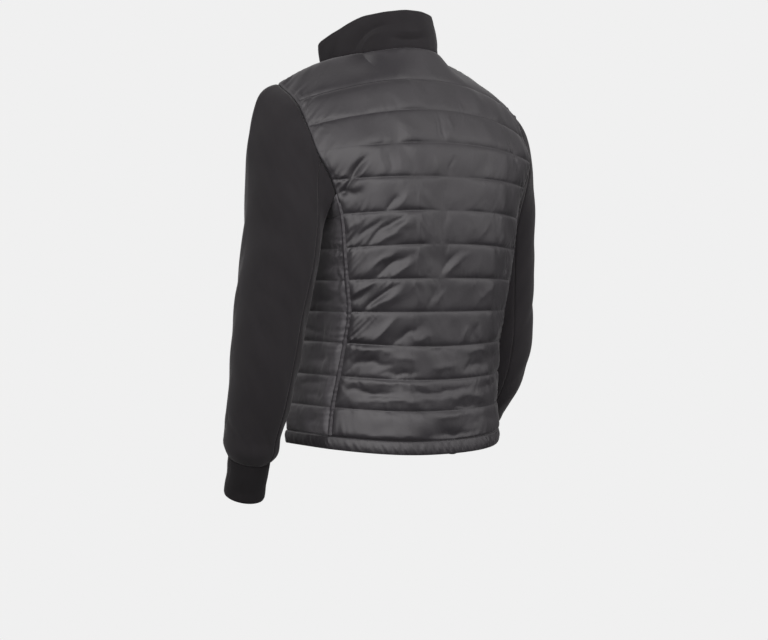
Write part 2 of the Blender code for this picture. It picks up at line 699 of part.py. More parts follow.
def collar_grid():
    """The collar's outer face, right front edge to left, and its normals."""
    base, top = collar_half()
    base = np.concatenate([mirrored(base[:0:-1]), base])
    top = np.concatenate([mirrored(top[:0:-1]), top])
    base = base + unit(top - base) * COLLAR_LIFT
    share = np.linspace(0, 1, COLLAR_SPANS_UP + 1)[:, None, None]
    grid = base[None] * (1 - share) + top[None] * share
    grid = grid + grid_normals(grid) * COLLAR_BULGE * np.sin(np.pi * share)
    return grid, grid_normals(grid)


def make_collar(softshell):
    grid, normals = collar_grid()
    wall_between("collar", grid, grid - normals * COLLAR_WALL, softshell)


# ---- zip ----------------------------------------------------------------------------------
def opening_edge(torso):
    """The left zip edge from the collar's front tip down to the hem, with directions."""
    collar, collar_normal = collar_grid()
    collar_inward = unit(collar[:, -1] - collar[:, -2])[:0:-1]
    panel_inward = unit(torso.front[:, 0] - torso.front[:, 1])
    points = np.concatenate([collar[:0:-1, -1], torso.front[:, 0]])
    inward = np.concatenate([collar_inward, panel_inward])
    normal = np.concatenate([collar_normal[:0:-1, -1], torso.front_normal[:, 0]])
    along = unit(np.gradient(points, axis=0))
    softened = normal.copy()
    softened[1:-1] = unit(normal[:-2] + normal[1:-1] + normal[2:])
    crosswise = np.cross(along, softened)
    inward = unit(crosswise * np.sign(np.sum(crosswise * inward, axis=1, keepdims=True)))
    normal = softened
    return points, inward, normal


def make_tapes(torso, tape_cloth):
    points, inward, normal = opening_edge(torso)
    near = points + inward * TAPE_GAP - normal * TAPE_SINK
    far = near + inward * TAPE_WIDTH
    grid = np.stack([near, far], axis=1)
    back = grid - normal[:, None] * TAPE_WALL
    for name, turn in (("left", np.array), ("right", mirrored)):
        wall_between(f"zip_tape_{name}", turn(grid), turn(back), tape_cloth)


def extruded(name, outline, half_width, material):
    """An outline in the y-z plane given a width in x."""
    count = len(outline)
    points = [(-half_width, y, z) for y, z in outline] + [(half_width, y, z) for y, z in outline]
    faces = [tuple(range(count)), tuple(reversed(range(count, 2 * count)))]
    for i in range(count):
        j = (i + 1) % count
        faces.append((j, i, count + i, count + j))
    return add_solid(name, np.array(points), faces, material)


def slider_place(torso):
    """A point on the outer face of the tapes, and the lean of the zip there."""
    ends = [SLIDER_ROW - SLIDER_REACH, SLIDER_ROW + SLIDER_REACH]
    edge = smooth_through(torso.rows, torso.front[:, 0], ends)
    middle = edge.mean(axis=0)
    lean = math.atan2(edge[0, 1] - edge[1, 1], edge[0, 2] - edge[1, 2])
    return (0.0, middle[1] + SLIDER_STAND, middle[2]), lean


def place(solid, location, lean):
    solid.location = location
    solid.rotation_euler = (-lean, 0, 0)


def make_slider(torso, metal):
    """Two plates joined by a post between the tapes, with a bridge for the pull tab."""
    location, lean = slider_place(torso)
    half = SLIDER_LENGTH / 2
    front = -SLIDER_CLEAR
    back = TAPE_WALL + SLIDER_CLEAR
    outline = [
        (-SLIDER_HALF_WIDTH, front - SLIDER_PLATE), (SLIDER_HALF_WIDTH, front - SLIDER_PLATE),
        (SLIDER_HALF_WIDTH, front), (SLIDER_POST, front),
        (SLIDER_POST, back), (SLIDER_HALF_WIDTH, back),
        (SLIDER_HALF_WIDTH, back + SLIDER_PLATE), (-SLIDER_HALF_WIDTH, back + SLIDER_PLATE),
        (-SLIDER_HALF_WIDTH, back), (-SLIDER_POST, back),
        (-SLIDER_POST, front), (-SLIDER_HALF_WIDTH, front),
    ]
    count = len(outline)
    points = [(x, y, -half) for x, y in outline] + [(x, y, half) for x, y in outline]
    faces = [tuple(reversed(range(count))), tuple(range(count, 2 * count))]
    for i in range(count):
        j = (i + 1) % count
        faces.append((i, j, count + j, count + i))
    slider = add_solid("zip_slider", np.array(points), faces, metal)
    plate = front - SLIDER_PLATE
    crown = plate - BRIDGE_CLEAR
    sunk = plate + SLIDER_PLATE / 2
    outer, inner = BRIDGE_LENGTH / 2, BRIDGE_WINDOW / 2
    bridge = extruded("zip_bridge_cutter", [
        (sunk, -outer), (crown, -outer), (crown - BRIDGE_THICK, -inner),
        (crown - BRIDGE_THICK, inner), (crown, outer), (sunk, outer),
        (sunk, inner), (crown, inner), (crown, -inner), (sunk, -inner),
    ], BRIDGE_HALF_WIDTH, metal)
    join = slider.modifiers.new("bridge", "BOOLEAN")
    join.operation = "UNION"
    join.solver = "EXACT"
    join.object = bridge
    bridge.hide_render = True
    bridge.display_type = "WIRE"
    place(slider, location, lean)
    place(bridge, location, lean)
    return plate - BRIDGE_CLEAR / 2


def make_pull_tab(torso, metal, pivot_out):
    """A flat tab with a hole that the slider's bridge passes through; origin on its hinge."""
    location, lean = slider_place(torso)
    corner = TAB_CORNER
    outer = [
        (-TAB_HALF_WIDTH, TAB_BAR), (-TAB_HALF_WIDTH, -TAB_LENGTH + corner),
        (-TAB_HALF_WIDTH + corner, -TAB_LENGTH), (TAB_HALF_WIDTH - corner, -TAB_LENGTH),
        (TAB_HALF_WIDTH, -TAB_LENGTH + corner), (TAB_HALF_WIDTH, TAB_BAR),
    ]
    hole = [
        (-TAB_ARM_INNER, -TAB_BAR), (-TAB_ARM_INNER, -TAB_HOLE),
        (TAB_ARM_INNER, -TAB_HOLE), (TAB_ARM_INNER, -TAB_BAR),
    ]
    rim = outer + hole
    spans = [
        (0, 1, 7, 6), (1, 2, 3, 4, 8, 7), (4, 5, 9, 8), (5, 0, 6, 9),
    ]
    count = len(rim)
    half = TAB_THICK / 2
    points = [(x, -half, z) for x, z in rim] + [(x, half, z) for x, z in rim]
    faces = list(spans)
    faces += [tuple(count + i for i in reversed(face)) for face in spans]
    for ring in (list(range(6)), [9, 8, 7, 6]):
        for a, b in zip(ring, ring[1:] + ring[:1]):
            faces.append((b, a, count + a, count + b))
    tab = add_solid("zip_pull_tab", np.array(points), faces, metal)
    out_y = pivot_out * math.cos(lean)
    out_z = -pivot_out * math.sin(lean)
    place(tab, (0.0, location[1] + out_y, location[2] + out_z), lean)


def main():
    for old in list(bpy.data.objects):
        bpy.data.objects.remove(old, do_unlink=True)
    nylon = make_material("quilted_nylon", (0.060, 0.056, 0.060), 0.42)
    softshell = make_material("softshell", (0.034, 0.033, 0.035), 0.80)
    knit = make_material("cuff_knit", (0.030, 0.029, 0.031), 0.90)
    tape_cloth = make_material("zip_tape_cloth", (0.020, 0.020, 0.022), 0.75)
    metal = make_material("painted_zinc", (0.030, 0.030, 0.032), 0.35, metallic=0.6)
    torso = Torso()
    make_torso(torso, nylon)
    make_hem_binding(torso, nylon)
    make_seam_straps(torso, nylon)
    for name, table, turn in (("left", LEFT_SLEEVE, np.array), ("right", RIGHT_SLEEVE, mirrored)):
        make_sleeve(torso, name, table, turn, softshell)
        make_cuff(name, table, turn, knit)
    make_collar(softshell)
    make_tapes(torso, tape_cloth)
    pivot_out = make_slider(torso, metal)
    make_pull_tab(torso, metal, pivot_out)


main()
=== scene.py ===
"""Looks of a quilted jacket with softshell sleeves: cloth, sewing, zip and finishes.

Metres, +Z up, the jacket's front towards -Y and the wearer's left at +X.  The cloth
pieces are cut from the same rows and rings as the solids, only finer.
"""
import math

import bmesh
import bpy
import numpy as np
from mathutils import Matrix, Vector


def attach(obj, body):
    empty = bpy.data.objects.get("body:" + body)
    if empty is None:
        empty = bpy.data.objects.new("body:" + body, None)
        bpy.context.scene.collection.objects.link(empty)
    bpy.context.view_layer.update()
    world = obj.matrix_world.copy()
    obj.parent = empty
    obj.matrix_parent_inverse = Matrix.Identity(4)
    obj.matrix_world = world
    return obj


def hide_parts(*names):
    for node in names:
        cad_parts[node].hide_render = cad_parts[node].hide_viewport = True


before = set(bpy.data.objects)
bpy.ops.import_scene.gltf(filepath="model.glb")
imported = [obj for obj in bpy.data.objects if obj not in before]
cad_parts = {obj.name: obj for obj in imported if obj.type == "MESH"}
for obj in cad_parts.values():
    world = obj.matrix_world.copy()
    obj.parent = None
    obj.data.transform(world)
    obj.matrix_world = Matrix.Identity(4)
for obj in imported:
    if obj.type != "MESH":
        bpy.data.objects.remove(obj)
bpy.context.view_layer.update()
JACKET = "jacket"
MM = 0.001

# ---- cut of the jacket, the same as in the solids -------------------------------------
QUILTED_WALL = 0.0025
SOFTSHELL_WALL = 0.0020
CUFF_WALL = 0.0024
COLLAR_WALL = 0.0030
TAPE_WALL = 0.0012
BINDING_WALL = 0.0024
BINDING_BULGE = 0.0022
SEAM_GAP = 0.0003
DRAWN_PUFF = 0.0030         # how far the wadding lifts the middle of a channel
ROW_PITCH = 0.056           # from one quilting line to the next
FULL_CHANNEL = 0.050        # a channel narrower than this stays flatter
ARMPIT_ROW = 4.4
BELOW_ARMPIT_ROW = ARMPIT_ROW + 0.27
HEM_ROW = 12
LAST_ROW = 13
NECK_HALF_WIDTH = 0.076
NECK_BACK_DEPTH = 0.062
NAPE_RISE = 0.008
NECK_CORNER = np.array([0.070, -0.113, -0.042])
CORNER_PULL = np.array([0.100, 0.050, 0.060])
NECK_PULL = np.array([-0.060, 0.100, 0.010])
SHOULDER_TIP = np.array([0.232, -0.018, -0.061])
SHOULDER_CROWN = 0.010
NECK_SHARE = 0.40
SIDE_BOW = 0.22
UNDERARM_DIP = 0.016
UNDERARM_DIP_ROWS = 0.9
ARMHOLE_CENTRE = (0.008, -0.165)
UNDERARM_SPRING = 0.25
CAP_SPRING = {"left": 1.00, "right": 0.70}
SLEEVE_SEAM_ROW = 10 / 3

# row; x, y, z at the middle of the back; x, y, z at the side-back seam; squareness
BACK_ROWS = (
    (1, 0.0, 0.094, -0.050, 0.2315, 0.037, -0.096, 2.2),
    (2, 0.0, 0.122, -0.103, 0.2290, 0.067, -0.138, 2.5),
    (3, 0.0, 0.139, -0.159, 0.2250, 0.090, -0.181, 3.0),
    (4, 0.0, 0.147, -0.216, 0.2030, 0.098, -0.226, 3.4),
    (5, 0.0, 0.149, -0.272, 0.1860, 0.101, -0.281, 3.4),
    (6, 0.0, 0.147, -0.328, 0.1790, 0.100, -0.336, 3.4),
    (7, 0.0, 0.141, -0.385, 0.1720, 0.097, -0.388, 3.4),
    (8, 0.0, 0.135, -0.441, 0.1640, 0.092, -0.440, 3.4),
    (9, 0.0, 0.131, -0.499, 0.1640, 0.079, -0.491, 3.4),
    (10, 0.0, 0.131, -0.555, 0.1680, 0.067, -0.546, 3.4),
    (11, 0.0, 0.134, -0.607, 0.1730, 0.057, -0.598, 3.4),
    (12, 0.0, 0.137, -0.656, 0.1780, 0.056, -0.645, 3.4),
    (13, 0.0, 0.138, -0.679, 0.1785, 0.056, -0.667, 3.4),
)
# row; x, y, z at the zip edge; x, y, z at the side-front seam; squareness
FRONT_ROWS = (
    (1, 0.067, -0.118, -0.055, 0.2240, -0.058, -0.094, 2.2),
    (2, 0.050, -0.131, -0.108, 0.2130, -0.078, -0.136, 2.6),
    (3, 0.028, -0.140, -0.162, 0.2020, -0.087, -0.180, 3.0),
    (4, 0.012, -0.145, -0.218, 0.1880, -0.089, -0.226, 3.2),
    (5, 0.012, -0.147, -0.274, 0.1740, -0.088, -0.281, 3.2),
    (6, 0.012, -0.146, -0.330, 0.1680, -0.086, -0.336, 3.2),
    (7, 0.012, -0.143, -0.386, 0.1630, -0.083, -0.388, 3.2),
    (8, 0.012, -0.140, -0.442, 0.1600, -0.081, -0.440, 3.2),
    (9, 0.012, -0.138, -0.497, 0.1620, -0.080, -0.491, 3.2),
    (10, 0.012, -0.138, -0.553, 0.1670, -0.082, -0.546, 3.2),
    (11, 0.012, -0.139, -0.605, 0.1710, -0.084, -0.598, 3.2),
    (12, 0.012, -0.140, -0.654, 0.1730, -0.085, -0.645, 3.2),
    (13, 0.012, -0.140, -0.677, 0.1735, -0.085, -0.667, 3.2),
)
SIDE_ROWS = ((4, 0.018), (5, 0.016), (6, 0.008), (7, 0.001), (8, 0.0), (13, 0.0))
# x, y, z, half size across, half size fore and aft
SLEEVES = {
    "left": (
        (0.2450, 0.018, -0.300, 0.0580, 0.0800),
        (0.2490, 0.016, -0.345, 0.0580, 0.0785),
        (0.2570, 0.005, -0.421, 0.0575, 0.0720),
        (0.2625, -0.006, -0.503, 0.0555, 0.0655),
        (0.2635, -0.026, -0.585, 0.0505, 0.0580),
        (0.2630, -0.046, -0.640, 0.0465, 0.0510),
        (0.2617, -0.057, -0.673, 0.0440, 0.0470),
        (0.2611, -0.0615, -0.686, 0.0355, 0.0380),
    ),
    "right": (
        (0.2380, -0.012, -0.300, 0.0560, 0.0770),
        (0.2420, -0.018, -0.345, 0.0570, 0.0755),
        (0.2490, -0.024, -0.415, 0.0570, 0.0705),
        (0.2530, -0.027, -0.490, 0.0550, 0.0640),
        (0.2520, -0.043, -0.552, 0.0520, 0.0590),
        (0.2480, -0.074, -0.603, 0.0480, 0.0530),
        (0.2440, -0.108, -0.638, 0.0445, 0.0480),
        (0.2432, -0.120, -0.6475, 0.0355, 0.0380),
    ),
}
CUFF_LENGTH = 0.068
CUFF_TUCK = 0.0022          # how far its top runs up inside the sleeve
CUFF_HALF_SIZE = np.array([0.0350, 0.0375])
CUFF_END_SIZE = np.array([0.0340, 0.0365])
# station, out, back, rise
COLLAR_TOP = (
    (0.0, 0.000, -0.010, 0.0665),
    (0.6, -0.005, -0.009, 0.0655),
    (1.0, -0.005, -0.006, 0.0640),
    (1.5, 0.006, -0.004, 0.0500),
    (2.0, 0.030, 0.015, 0.0585),
)
COLLAR_BULGE = 0.003
COLLAR_TUCK = 0.0020        # its lower edge is caught inside the neck seam
COLLAR_STITCH = 0.0045      # from its top and front edges
TAPE_WIDTH = 0.0126
TAPE_BEAD = 0.0008          # the tape's edge under the teeth, past the line they close on
TAPE_UNDER_SEAM = 0.0010    # how far the tape runs in under the cloth's edge
TAPE_SINK = 0.0004
TAPE_STITCH = 0.0036
STRAP_HALF_WIDTH = 0.0042
STRAP_WALL = 0.0012
STRAP_LIFT = 0.0004
STRAP_SINK = 0.001          # its underside, below the seam
STRAP_STITCH = 0.58         # where its two rows of stitching lie, over its half width
FRONT_STITCH = 0.0055       # the row of stitching beside the zip, from the front's edge
HEM_STITCH = 0.0030

# ---- how finely the cloth is drawn ----------------------------------------------------
CHANNEL_STEPS = 20
BACK_COLUMNS, FRONT_COLUMNS, SIDE_COLUMNS = 201, 61, 53
HEM_STEPS, HEM_SIDE_COLUMNS = 17, 51
STRAP_ROWS, STRAP_COLUMNS = 240, 11
SLEEVE_ROWS, TOP_SLEEVE_COLUMNS, UNDER_SLEEVE_COLUMNS = 180, 81, 45
ARM_SHARE = 0.66            # share of a sleeve's rows that lie below its cap
WRIST_ROWS = 6
CUFF_ROWS, CUFF_COLUMNS = 25, 96
COLLAR_ROWS, HALF_COLLAR_COLUMNS = 41, 131
ZIP_EDGE_ROWS, TAPE_COLUMNS = 261, 13


# ---- small geometry helpers -----------------------------------------------------------
def unit(vectors):
    length = np.linalg.norm(vectors, axis=-1, keepdims=True)
    return vectors / np.maximum(length, 1e-12)


def hermite(start, start_pull, end, end_pull, t):
    return (
        (2 * t**3 - 3 * t**2 + 1) * start
        + (t**3 - 2 * t**2 + t) * start_pull
        + (3 * t**2 - 2 * t**3) * end
        + (t**3 - t**2) * end_pull
    )


def smooth_through(stations, values, wanted):
    """Cubic through values at rising stations, read at the wanted stations."""
    slopes = np.gradient(values, stations, axis=0)
    index = np.clip(np.searchsorted(stations, wanted, side="right") - 1, 0, len(stations) - 2)
    shape = (-1,) + (1,) * (values.ndim - 1)
    step = (stations[index + 1] - stations[index]).reshape(shape)
    t = (wanted - stations[index]).reshape(shape) / step
    return hermite(
        values[index], step * slopes[index], values[index + 1], step * slopes[index + 1], t
    )


def read_along(places, length, values):
    """Vectors known at rising lengths, read at some places along them."""
    return np.stack([np.interp(places, length, column) for column in values.T], axis=-1)


def run(points, axis=0):
    """Distance along a line of points, or along each line of a grid."""
    steps = np.linalg.norm(np.diff(points, axis=axis), axis=-1)
    return np.insert(np.cumsum(steps, axis=axis), 0, 0.0, axis=axis)


def smoothed(curve, reach):
    """Each vector of a padded curve averaged with its neighbours; the padding is used up."""
    blend = np.ones(2 * reach + 1) / (2 * reach + 1)
    return np.stack([np.convolve(column, blend, "valid") for column in curve.T], axis=-1)


def smoothstep(value, low, high):
    t = np.clip((value - low) / (high - low), 0, 1)
    return t * t * (3 - 2 * t)


def bell(away, width, power=2):
    """1 on a line, falling to nothing beside it."""
    return np.exp(-(np.abs(away / width) ** power))


MIRROR = np.array([-1.0, 1.0, 1.0])
TURNS = {"left": np.ones(3), "right": MIRROR}


def ripple(along, seed, shortest, longest, waves=14):
    """Uneven ripples of unit strength along one direction, wavelengths in metres."""
    rng = np.random.default_rng(seed)
    total = np.zeros_like(along)
    for _ in range(waves):
        length = math.exp(rng.uniform(math.log(shortest), math.log(longest)))
        total += np.sin(2 * math.pi * (along / length + rng.uniform()))
    return total / math.sqrt(waves / 2)


def rumple(across, down, seed, shortest, longest, lean=0.0, spread=1.6, waves=26):
    """Uneven waves over cloth; lean is the waves' direction and spread how much it varies."""
    rng = np.random.default_rng(seed)
    total = np.zeros_like(across)
    for _ in range(waves):
        length = math.exp(rng.uniform(math.log(shortest), math.log(longest)))
        angle = lean + rng.uniform(-spread, spread)
        place = (across * math.cos(angle) + down * math.sin(angle)) / length
        total += np.sin(2 * math.pi * (place + rng.uniform()))
    return total / math.sqrt(waves / 2)


CREASE_SHARPNESS, CREASE_FADE = 1.2, 1.2
CREASE_ENDS, CREASE_BODY = 0.12, 0.76       # shares of half a wave: a fold fades at its ends


def creases(across, down, table):
    """Folds listed one by one, in millimetres: from, to, bow, half width and height."""
    total = np.zeros_like(across)
    for from_x, from_y, to_x, to_y, bow, width, height in table:
        start = np.array([from_x, from_y]) * MM
        reach = np.array([to_x, to_y]) * MM - start
        length = np.linalg.norm(reach)
        along = reach / length
        x, y = across - start[0], down - start[1]
        t = (x * along[0] + y * along[1]) / length
        off = (x * -along[1] + y * along[0]) - bow * MM * 4 * t * (1 - t)
        inside = np.clip(t, 0, 1)
        past = np.abs(t - inside) * length
        fade = np.sin(math.pi * (CREASE_ENDS + CREASE_BODY * inside)) ** CREASE_FADE
        total += height * MM * fade * bell(np.hypot(off, past), width * MM, CREASE_SHARPNESS)
    return total


# ---- meshes ---------------------------------------------------------------------------
class Cloth:
    """A grid of points on one cut piece, with its directions and its real sizes."""

    def __init__(self, points, around=False):
        self.points, self.around = points, around
        across = np.gradient(points, axis=1)
        if around:
            across = np.roll(points, -1, axis=1) - np.roll(points, 1, axis=1)
        self.normals = unit(np.cross(np.gradient(points, axis=0), across))
        self.across, self.down = run(points, 1), run(points, 0)
        self.width, self.length = self.across[:, -1:], self.down[-1:]

    def flip(self, wanted=True):
        """Turns the normals to the other side where that is wanted."""
        self.normals = -self.normals if wanted else self.normals
        return self

    def from_middle(self):
        return self.across - self.width / 2

    def sides(self):
        """Distance from the nearer of the two long edges."""
        return np.minimum(self.across, self.width - self.across)

    def ends(self):
        return np.minimum(self.down, self.length - self.down)


def link(name, mesh, material):
    mesh.materials.append(material)
    made = bpy.data.objects.new(name, mesh)
    bpy.context.scene.collection.objects.link(made)
    return made


def make_mesh(name, points, face_sets, material, flat=None):
    """One smooth mesh from points and arrays of faces; flat gives each point's place on
    the cut cloth as a UV map in metres."""
    mesh = bpy.data.meshes.new(name)
    mesh.vertices.add(len(points))
    mesh.vertices.foreach_set("co", np.ascontiguousarray(points, dtype=np.float32).ravel())
    corners = np.concatenate([faces.ravel() for faces in face_sets]).astype(np.int32)
    sizes = np.concatenate([np.full(len(faces), faces.shape[1]) for faces in face_sets])
    starts = np.concatenate([[0], np.cumsum(sizes)[:-1]]).astype(np.int32)
    mesh.loops.add(len(corners))
    mesh.loops.foreach_set("vertex_index", corners)
    mesh.polygons.add(len(sizes))
    mesh.polygons.foreach_set("loop_start", starts)
    mesh.polygons.foreach_set("use_smooth", np.ones(len(sizes), dtype=bool))
    if flat is not None:
        layer = mesh.uv_layers.new(name="cloth")
        layer.data.foreach_set("uv", flat[corners].ravel())
    mesh.update(calc_edges=True)
    mesh.validate()
    return link(name, mesh, material)


def closed_mesh(name, outer, inner, flat, material, around=False):
    """A closed wall between two grids."""
    rows, columns = outer.shape[:2]
    half = rows * columns
    index = np.arange(half).reshape(rows, columns)
    if around:
        index = np.concatenate([index, index[:, :1]], axis=1)
    a, b, c, d = index[:-1, :-1], index[:-1, 1:], index[1:, 1:], index[1:, :-1]
    top = np.stack([a, b, c, d], axis=-1).reshape(-1, 4)
    faces = [top, top[:, ::-1] + half]
    edges = [(index[0], -1), (index[-1], 1)]
    if not around:
        edges += [(index[:, 0], 1), (index[:, -1], -1)]
    for edge, way in edges:
        strip = np.stack([edge[:-1], edge[1:], edge[1:] + half, edge[:-1] + half], axis=-1)
        faces.append(strip[:, ::way])
    faces = np.concatenate(faces)
    points = np.concatenate([outer.reshape(-1, 3), inner.reshape(-1, 3)])
    corner = points[faces]
    turned = np.cross(corner[:, 1] - corner[:, 0], corner[:, 2] - corner[:, 0])
    if np.einsum("ij,ij->", corner[:, 0], turned) < 0:
        faces = faces[:, ::-1]
    both_sides = np.concatenate([flat.reshape(-1, 2)] * 2)
    return make_mesh(name, points, [faces], material, both_sides)


def declare(piece, body=JACKET, node=None):
    """Says what a piece rides on, and hides the node whose place it takes."""
    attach(piece, body)
    if node:
        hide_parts(node)


def make_beads(name, beads, corners, material, inside_out=False):
    """Many equal closed beads as one piece of the jacket, each a stack of rings with this
    many corners."""
    side = np.arange(corners)
    after = (side + 1) % corners
    last = beads.shape[1] - corners
    skin = np.concatenate([
        np.stack([r + side, r + after, r + after + corners, r + side + corners], axis=-1)
        for r in range(0, last, corners)
    ])
    ends = np.stack([side[::-1], side + last])
    if inside_out:
        skin, ends = skin[:, ::-1], ends[:, ::-1]
    first = (np.arange(len(beads)) * beads.shape[1])[:, None, None]
    faces = [(skin[None] + first).reshape(-1, 4), (ends[None] + first).reshape(-1, corners)]
    declare(make_mesh(name, beads.reshape(-1, 3), faces, material))


def flat_area(points):
    """Area of a grid of points."""
    one = np.cross(points[1:, 1:] - points[:-1, :-1], points[1:, :-1] - points[:-1, 1:])
    return float(np.linalg.norm(one, axis=-1).sum() / 2)


TUBE_EASE = 1.03            # a tube's flat width over the width of its open grid
NARROWEST = 0.010           # flat width given for the narrowest strips


def sew(name, cloth, height, wall, material, node):
    outer = cloth.points + cloth.normals * height[..., None]
    tuck = np.minimum(height, 0)
    inner = cloth.points + cloth.normals * (tuck - wall)[..., None]
    flat = np.stack([cloth.from_middle(), -cloth.down], axis=-1)
    piece = closed_mesh(name, outer, inner, flat, material, cloth.around)
    declare(piece, node=node)
    width, length, area = cloth.width.max(), cloth.length.max(), flat_area(cloth.points)
    if cloth.around:
        columns = cloth.points.shape[1]
        width, area = width * TUBE_EASE, area * columns / (columns - 1)
    width, length = max(round(float(width), 3), NARROWEST), round(float(length), 3)
    return outer


# ---- sewing thread --------------------------------------------------------------------
STITCH_LENGTH = 0.0034
STITCH_GAP = 0.0009
THREAD_RADIUS = 0.00026
STITCH_SIDES = 5
# each ring's place over the stitch's length, then its radius and lift over the thread's radius
STITCH_RINGS = ((-0.5, 0.45, -0.5), (0.0, 1.0, 0.6), (0.5, 0.45, -0.5))


def sewn_line(lengths, outer, normals, inset):
    """A line over rows of points, at one distance along each of them; below nothing is
    from the far end.  Gives its points and normals."""
    wanted = [length[-1] + inset if inset < 0 else inset for length in lengths]
    points = [read_along(*read) for read in zip(wanted, lengths, outer)]
    ups = [read_along(*read) for read in zip(wanted, lengths, normals)]
    return np.array(points), unit(np.array(ups))


def line_beside_edge(cloth, outer, inset):
    """A line down a piece beside its first long edge; below nothing, beside its last one."""
    return sewn_line(cloth.across, outer, cloth.normals, inset)


def line_at_depth(cloth, outer, depth):
    """A line across a piece at one depth down it; below nothing is from its far end."""
    return sewn_line(cloth.down.T, outer.swapaxes(0, 1), cloth.normals.swapaxes(0, 1), depth)


def stitch(name, lines, thread):
    """Lockstitches along lines of points and normals: each a bead of thread that dips at
    both ends, all joined in one piece."""
    beads = []
    turn = np.linspace(0, 2 * math.pi, STITCH_SIDES, endpoint=False)[:, None]
    place, radius, lift = np.array(STITCH_RINGS).T[:, None, :, None, None]
    place, radius, lift = place * STITCH_LENGTH, radius * THREAD_RADIUS, lift * THREAD_RADIUS
    for points, normals in lines:
        length = run(points)
        count = int(length[-1] / (STITCH_LENGTH + STITCH_GAP))
        places = (np.arange(count) + 0.5) * length[-1] / max(count, 1)
        middle = read_along(places, length, points)
        up = unit(read_along(places, length, normals))
        along = unit(np.gradient(middle, axis=0))
        aside = unit(np.cross(along, up))
        bead = (
            middle[:, None, None]
            + along[:, None, None] * place
            + aside[:, None, None] * radius * np.cos(turn)
            + up[:, None, None] * (radius * np.sin(turn) + lift)
        )
        beads.append(bead.reshape(count, -1, 3))
    make_beads(name, np.concatenate(beads), STITCH_SIDES, thread, inside_out=True)


# ---- torso ----------------------------------------------------------------------------
EDGE_PAIR = np.array([0.9, 1.0])        # the last two stations of a panel, for its direction


def neck_back(turn):
    angle = np.asarray(turn) * math.pi / 2
    return np.stack([
        NECK_HALF_WIDTH * np.sin(angle),
        NECK_BACK_DEPTH * np.cos(angle),
        NAPE_RISE * np.cos(angle) ** 2,
    ], axis=-1)


NECK_POINT = neck_back(1.0)


def neck_front(turn):
    turn = np.asarray(turn)[..., None]
    return hermite(NECK_CORNER, CORNER_PULL, NECK_POINT, NECK_PULL, turn)


def shoulder_seam(turn):
    turn = np.asarray(turn)[..., None]
    line = NECK_POINT * (1 - turn) + SHOULDER_TIP * turn
    return line + np.array([0, 0, SHOULDER_CROWN]) * np.sin(np.pi * turn)


def panel_row(row, side):
    _, start_x, start_y, start_z, edge_x, edge_y, edge_z, squareness = row
    return np.stack([
        start_x + (edge_x - start_x) * side,
        start_y - (start_y - edge_y) * side**squareness,
        start_z + (edge_z - start_z) * side**2,
    ], axis=-1)


def top_row(neck_curve, stations):
    on_neck = neck_curve(np.clip(stations / NECK_SHARE, 0, 1))
    on_shoulder = shoulder_seam(np.clip((stations - NECK_SHARE) / (1 - NECK_SHARE), 0, 1))
    return np.where((stations <= NECK_SHARE)[:, None], on_neck, on_shoulder)


def half_panel(kind, rows, stations):
    """Points of the left half of the back, or of the left front."""
    table, neck = {"back": (BACK_ROWS, neck_back), "front": (FRONT_ROWS, neck_front)}[kind]
    known = [top_row(neck, stations)] + [panel_row(row, stations) for row in table]
    return smooth_through(np.arange(len(known)), np.array(known), rows)


def side_panel(rows, stations):
    """Points of the left side panel, from the side-back seam to the side-front seam."""
    back = half_panel("back", rows, EDGE_PAIR)
    front = half_panel("front", rows, EDGE_PAIR)
    reach = np.linalg.norm(back[:, 1] - front[:, 1], axis=1)[:, None] * SIDE_BOW
    back_pull = unit(back[:, 1] - back[:, 0]) * reach
    front_pull = unit(front[:, 0] - front[:, 1]) * reach
    grid = hermite(
        back[:, None, 1], back_pull[:, None], front[:, None, 1], front_pull[:, None],
        stations[None, :, None],
    )
    bow = np.sin(np.pi * stations)
    pressed = np.interp(rows, *np.array(SIDE_ROWS).T)
    grid[:, :, 0] -= pressed[:, None] * bow[None]
    dip = UNDERARM_DIP * np.clip(1 - (rows - ARMPIT_ROW) / UNDERARM_DIP_ROWS, 0, 1)
    grid[:, :, 2] -= dip[:, None] * bow[None]
    return grid


EVEN_SHARE = 0.5            # how evenly the rows are spread over a channel
ROW_CLEARANCE = 0.01


def channel_rows(first, last):
    """Rows crowded towards the stitch lines."""
    k = np.arange(CHANNEL_STEPS) / CHANNEL_STEPS
    within = EVEN_SHARE * k + (1 - EVEN_SHARE) * (1 - np.cos(np.pi * k)) / 2
    rows = np.concatenate([i + within for i in range(int(first), last)] + [[last]])
    rows = rows[rows > first + ROW_CLEARANCE]
    return np.insert(rows, 0, first)


# ---- quilting -------------------------------------------------------------------------
# Rounding is in shares of a channel; waves are the shortest and longest lengths in metres,
# and a lean is how far they slant for each metre away.
ROUNDING_BELOW, ROUNDING_ABOVE = 0.060, 0.085
CROWN = 0.06
FULLEST = 1.1
LOST_REACH = 0.4                        # rows
UNEVEN, UNEVEN_WAVES = 0.16, (0.06, 0.20)
GATHER_HEIGHT, GATHER_WAVES = 0.0009, (0.010, 0.036)
FINE_GATHERS, FINE_GATHER_WAVES = 0.4, (0.006, 0.012)
GATHER_START, GATHER_REACH = 0.0022, 0.0125
GATHER_STRENGTH, STRENGTH_SPREAD, STRENGTH_WAVES = 0.7, 0.5, (0.06, 0.25)
GATHER_LEAN, LEAN_WAVES = 0.5, (0.10, 0.30)
WEAKEST, STRONGEST = 0.1, 1.7
TIGHT_MIDDLE, TIGHT_SEAM, TIGHT_REACH = 0.35, 1.1, 0.035        # tighter by the long seams
SOFT_HEIGHT, SOFT_WAVES = 0.00045, (0.035, 0.110)
RUFFLE_HEIGHT, RUFFLE_WAVES, RUFFLE_LEAN = 0.0011, (0.009, 0.024), 0.3
RUFFLE_START, RUFFLE_REACH = 0.006, 0.016
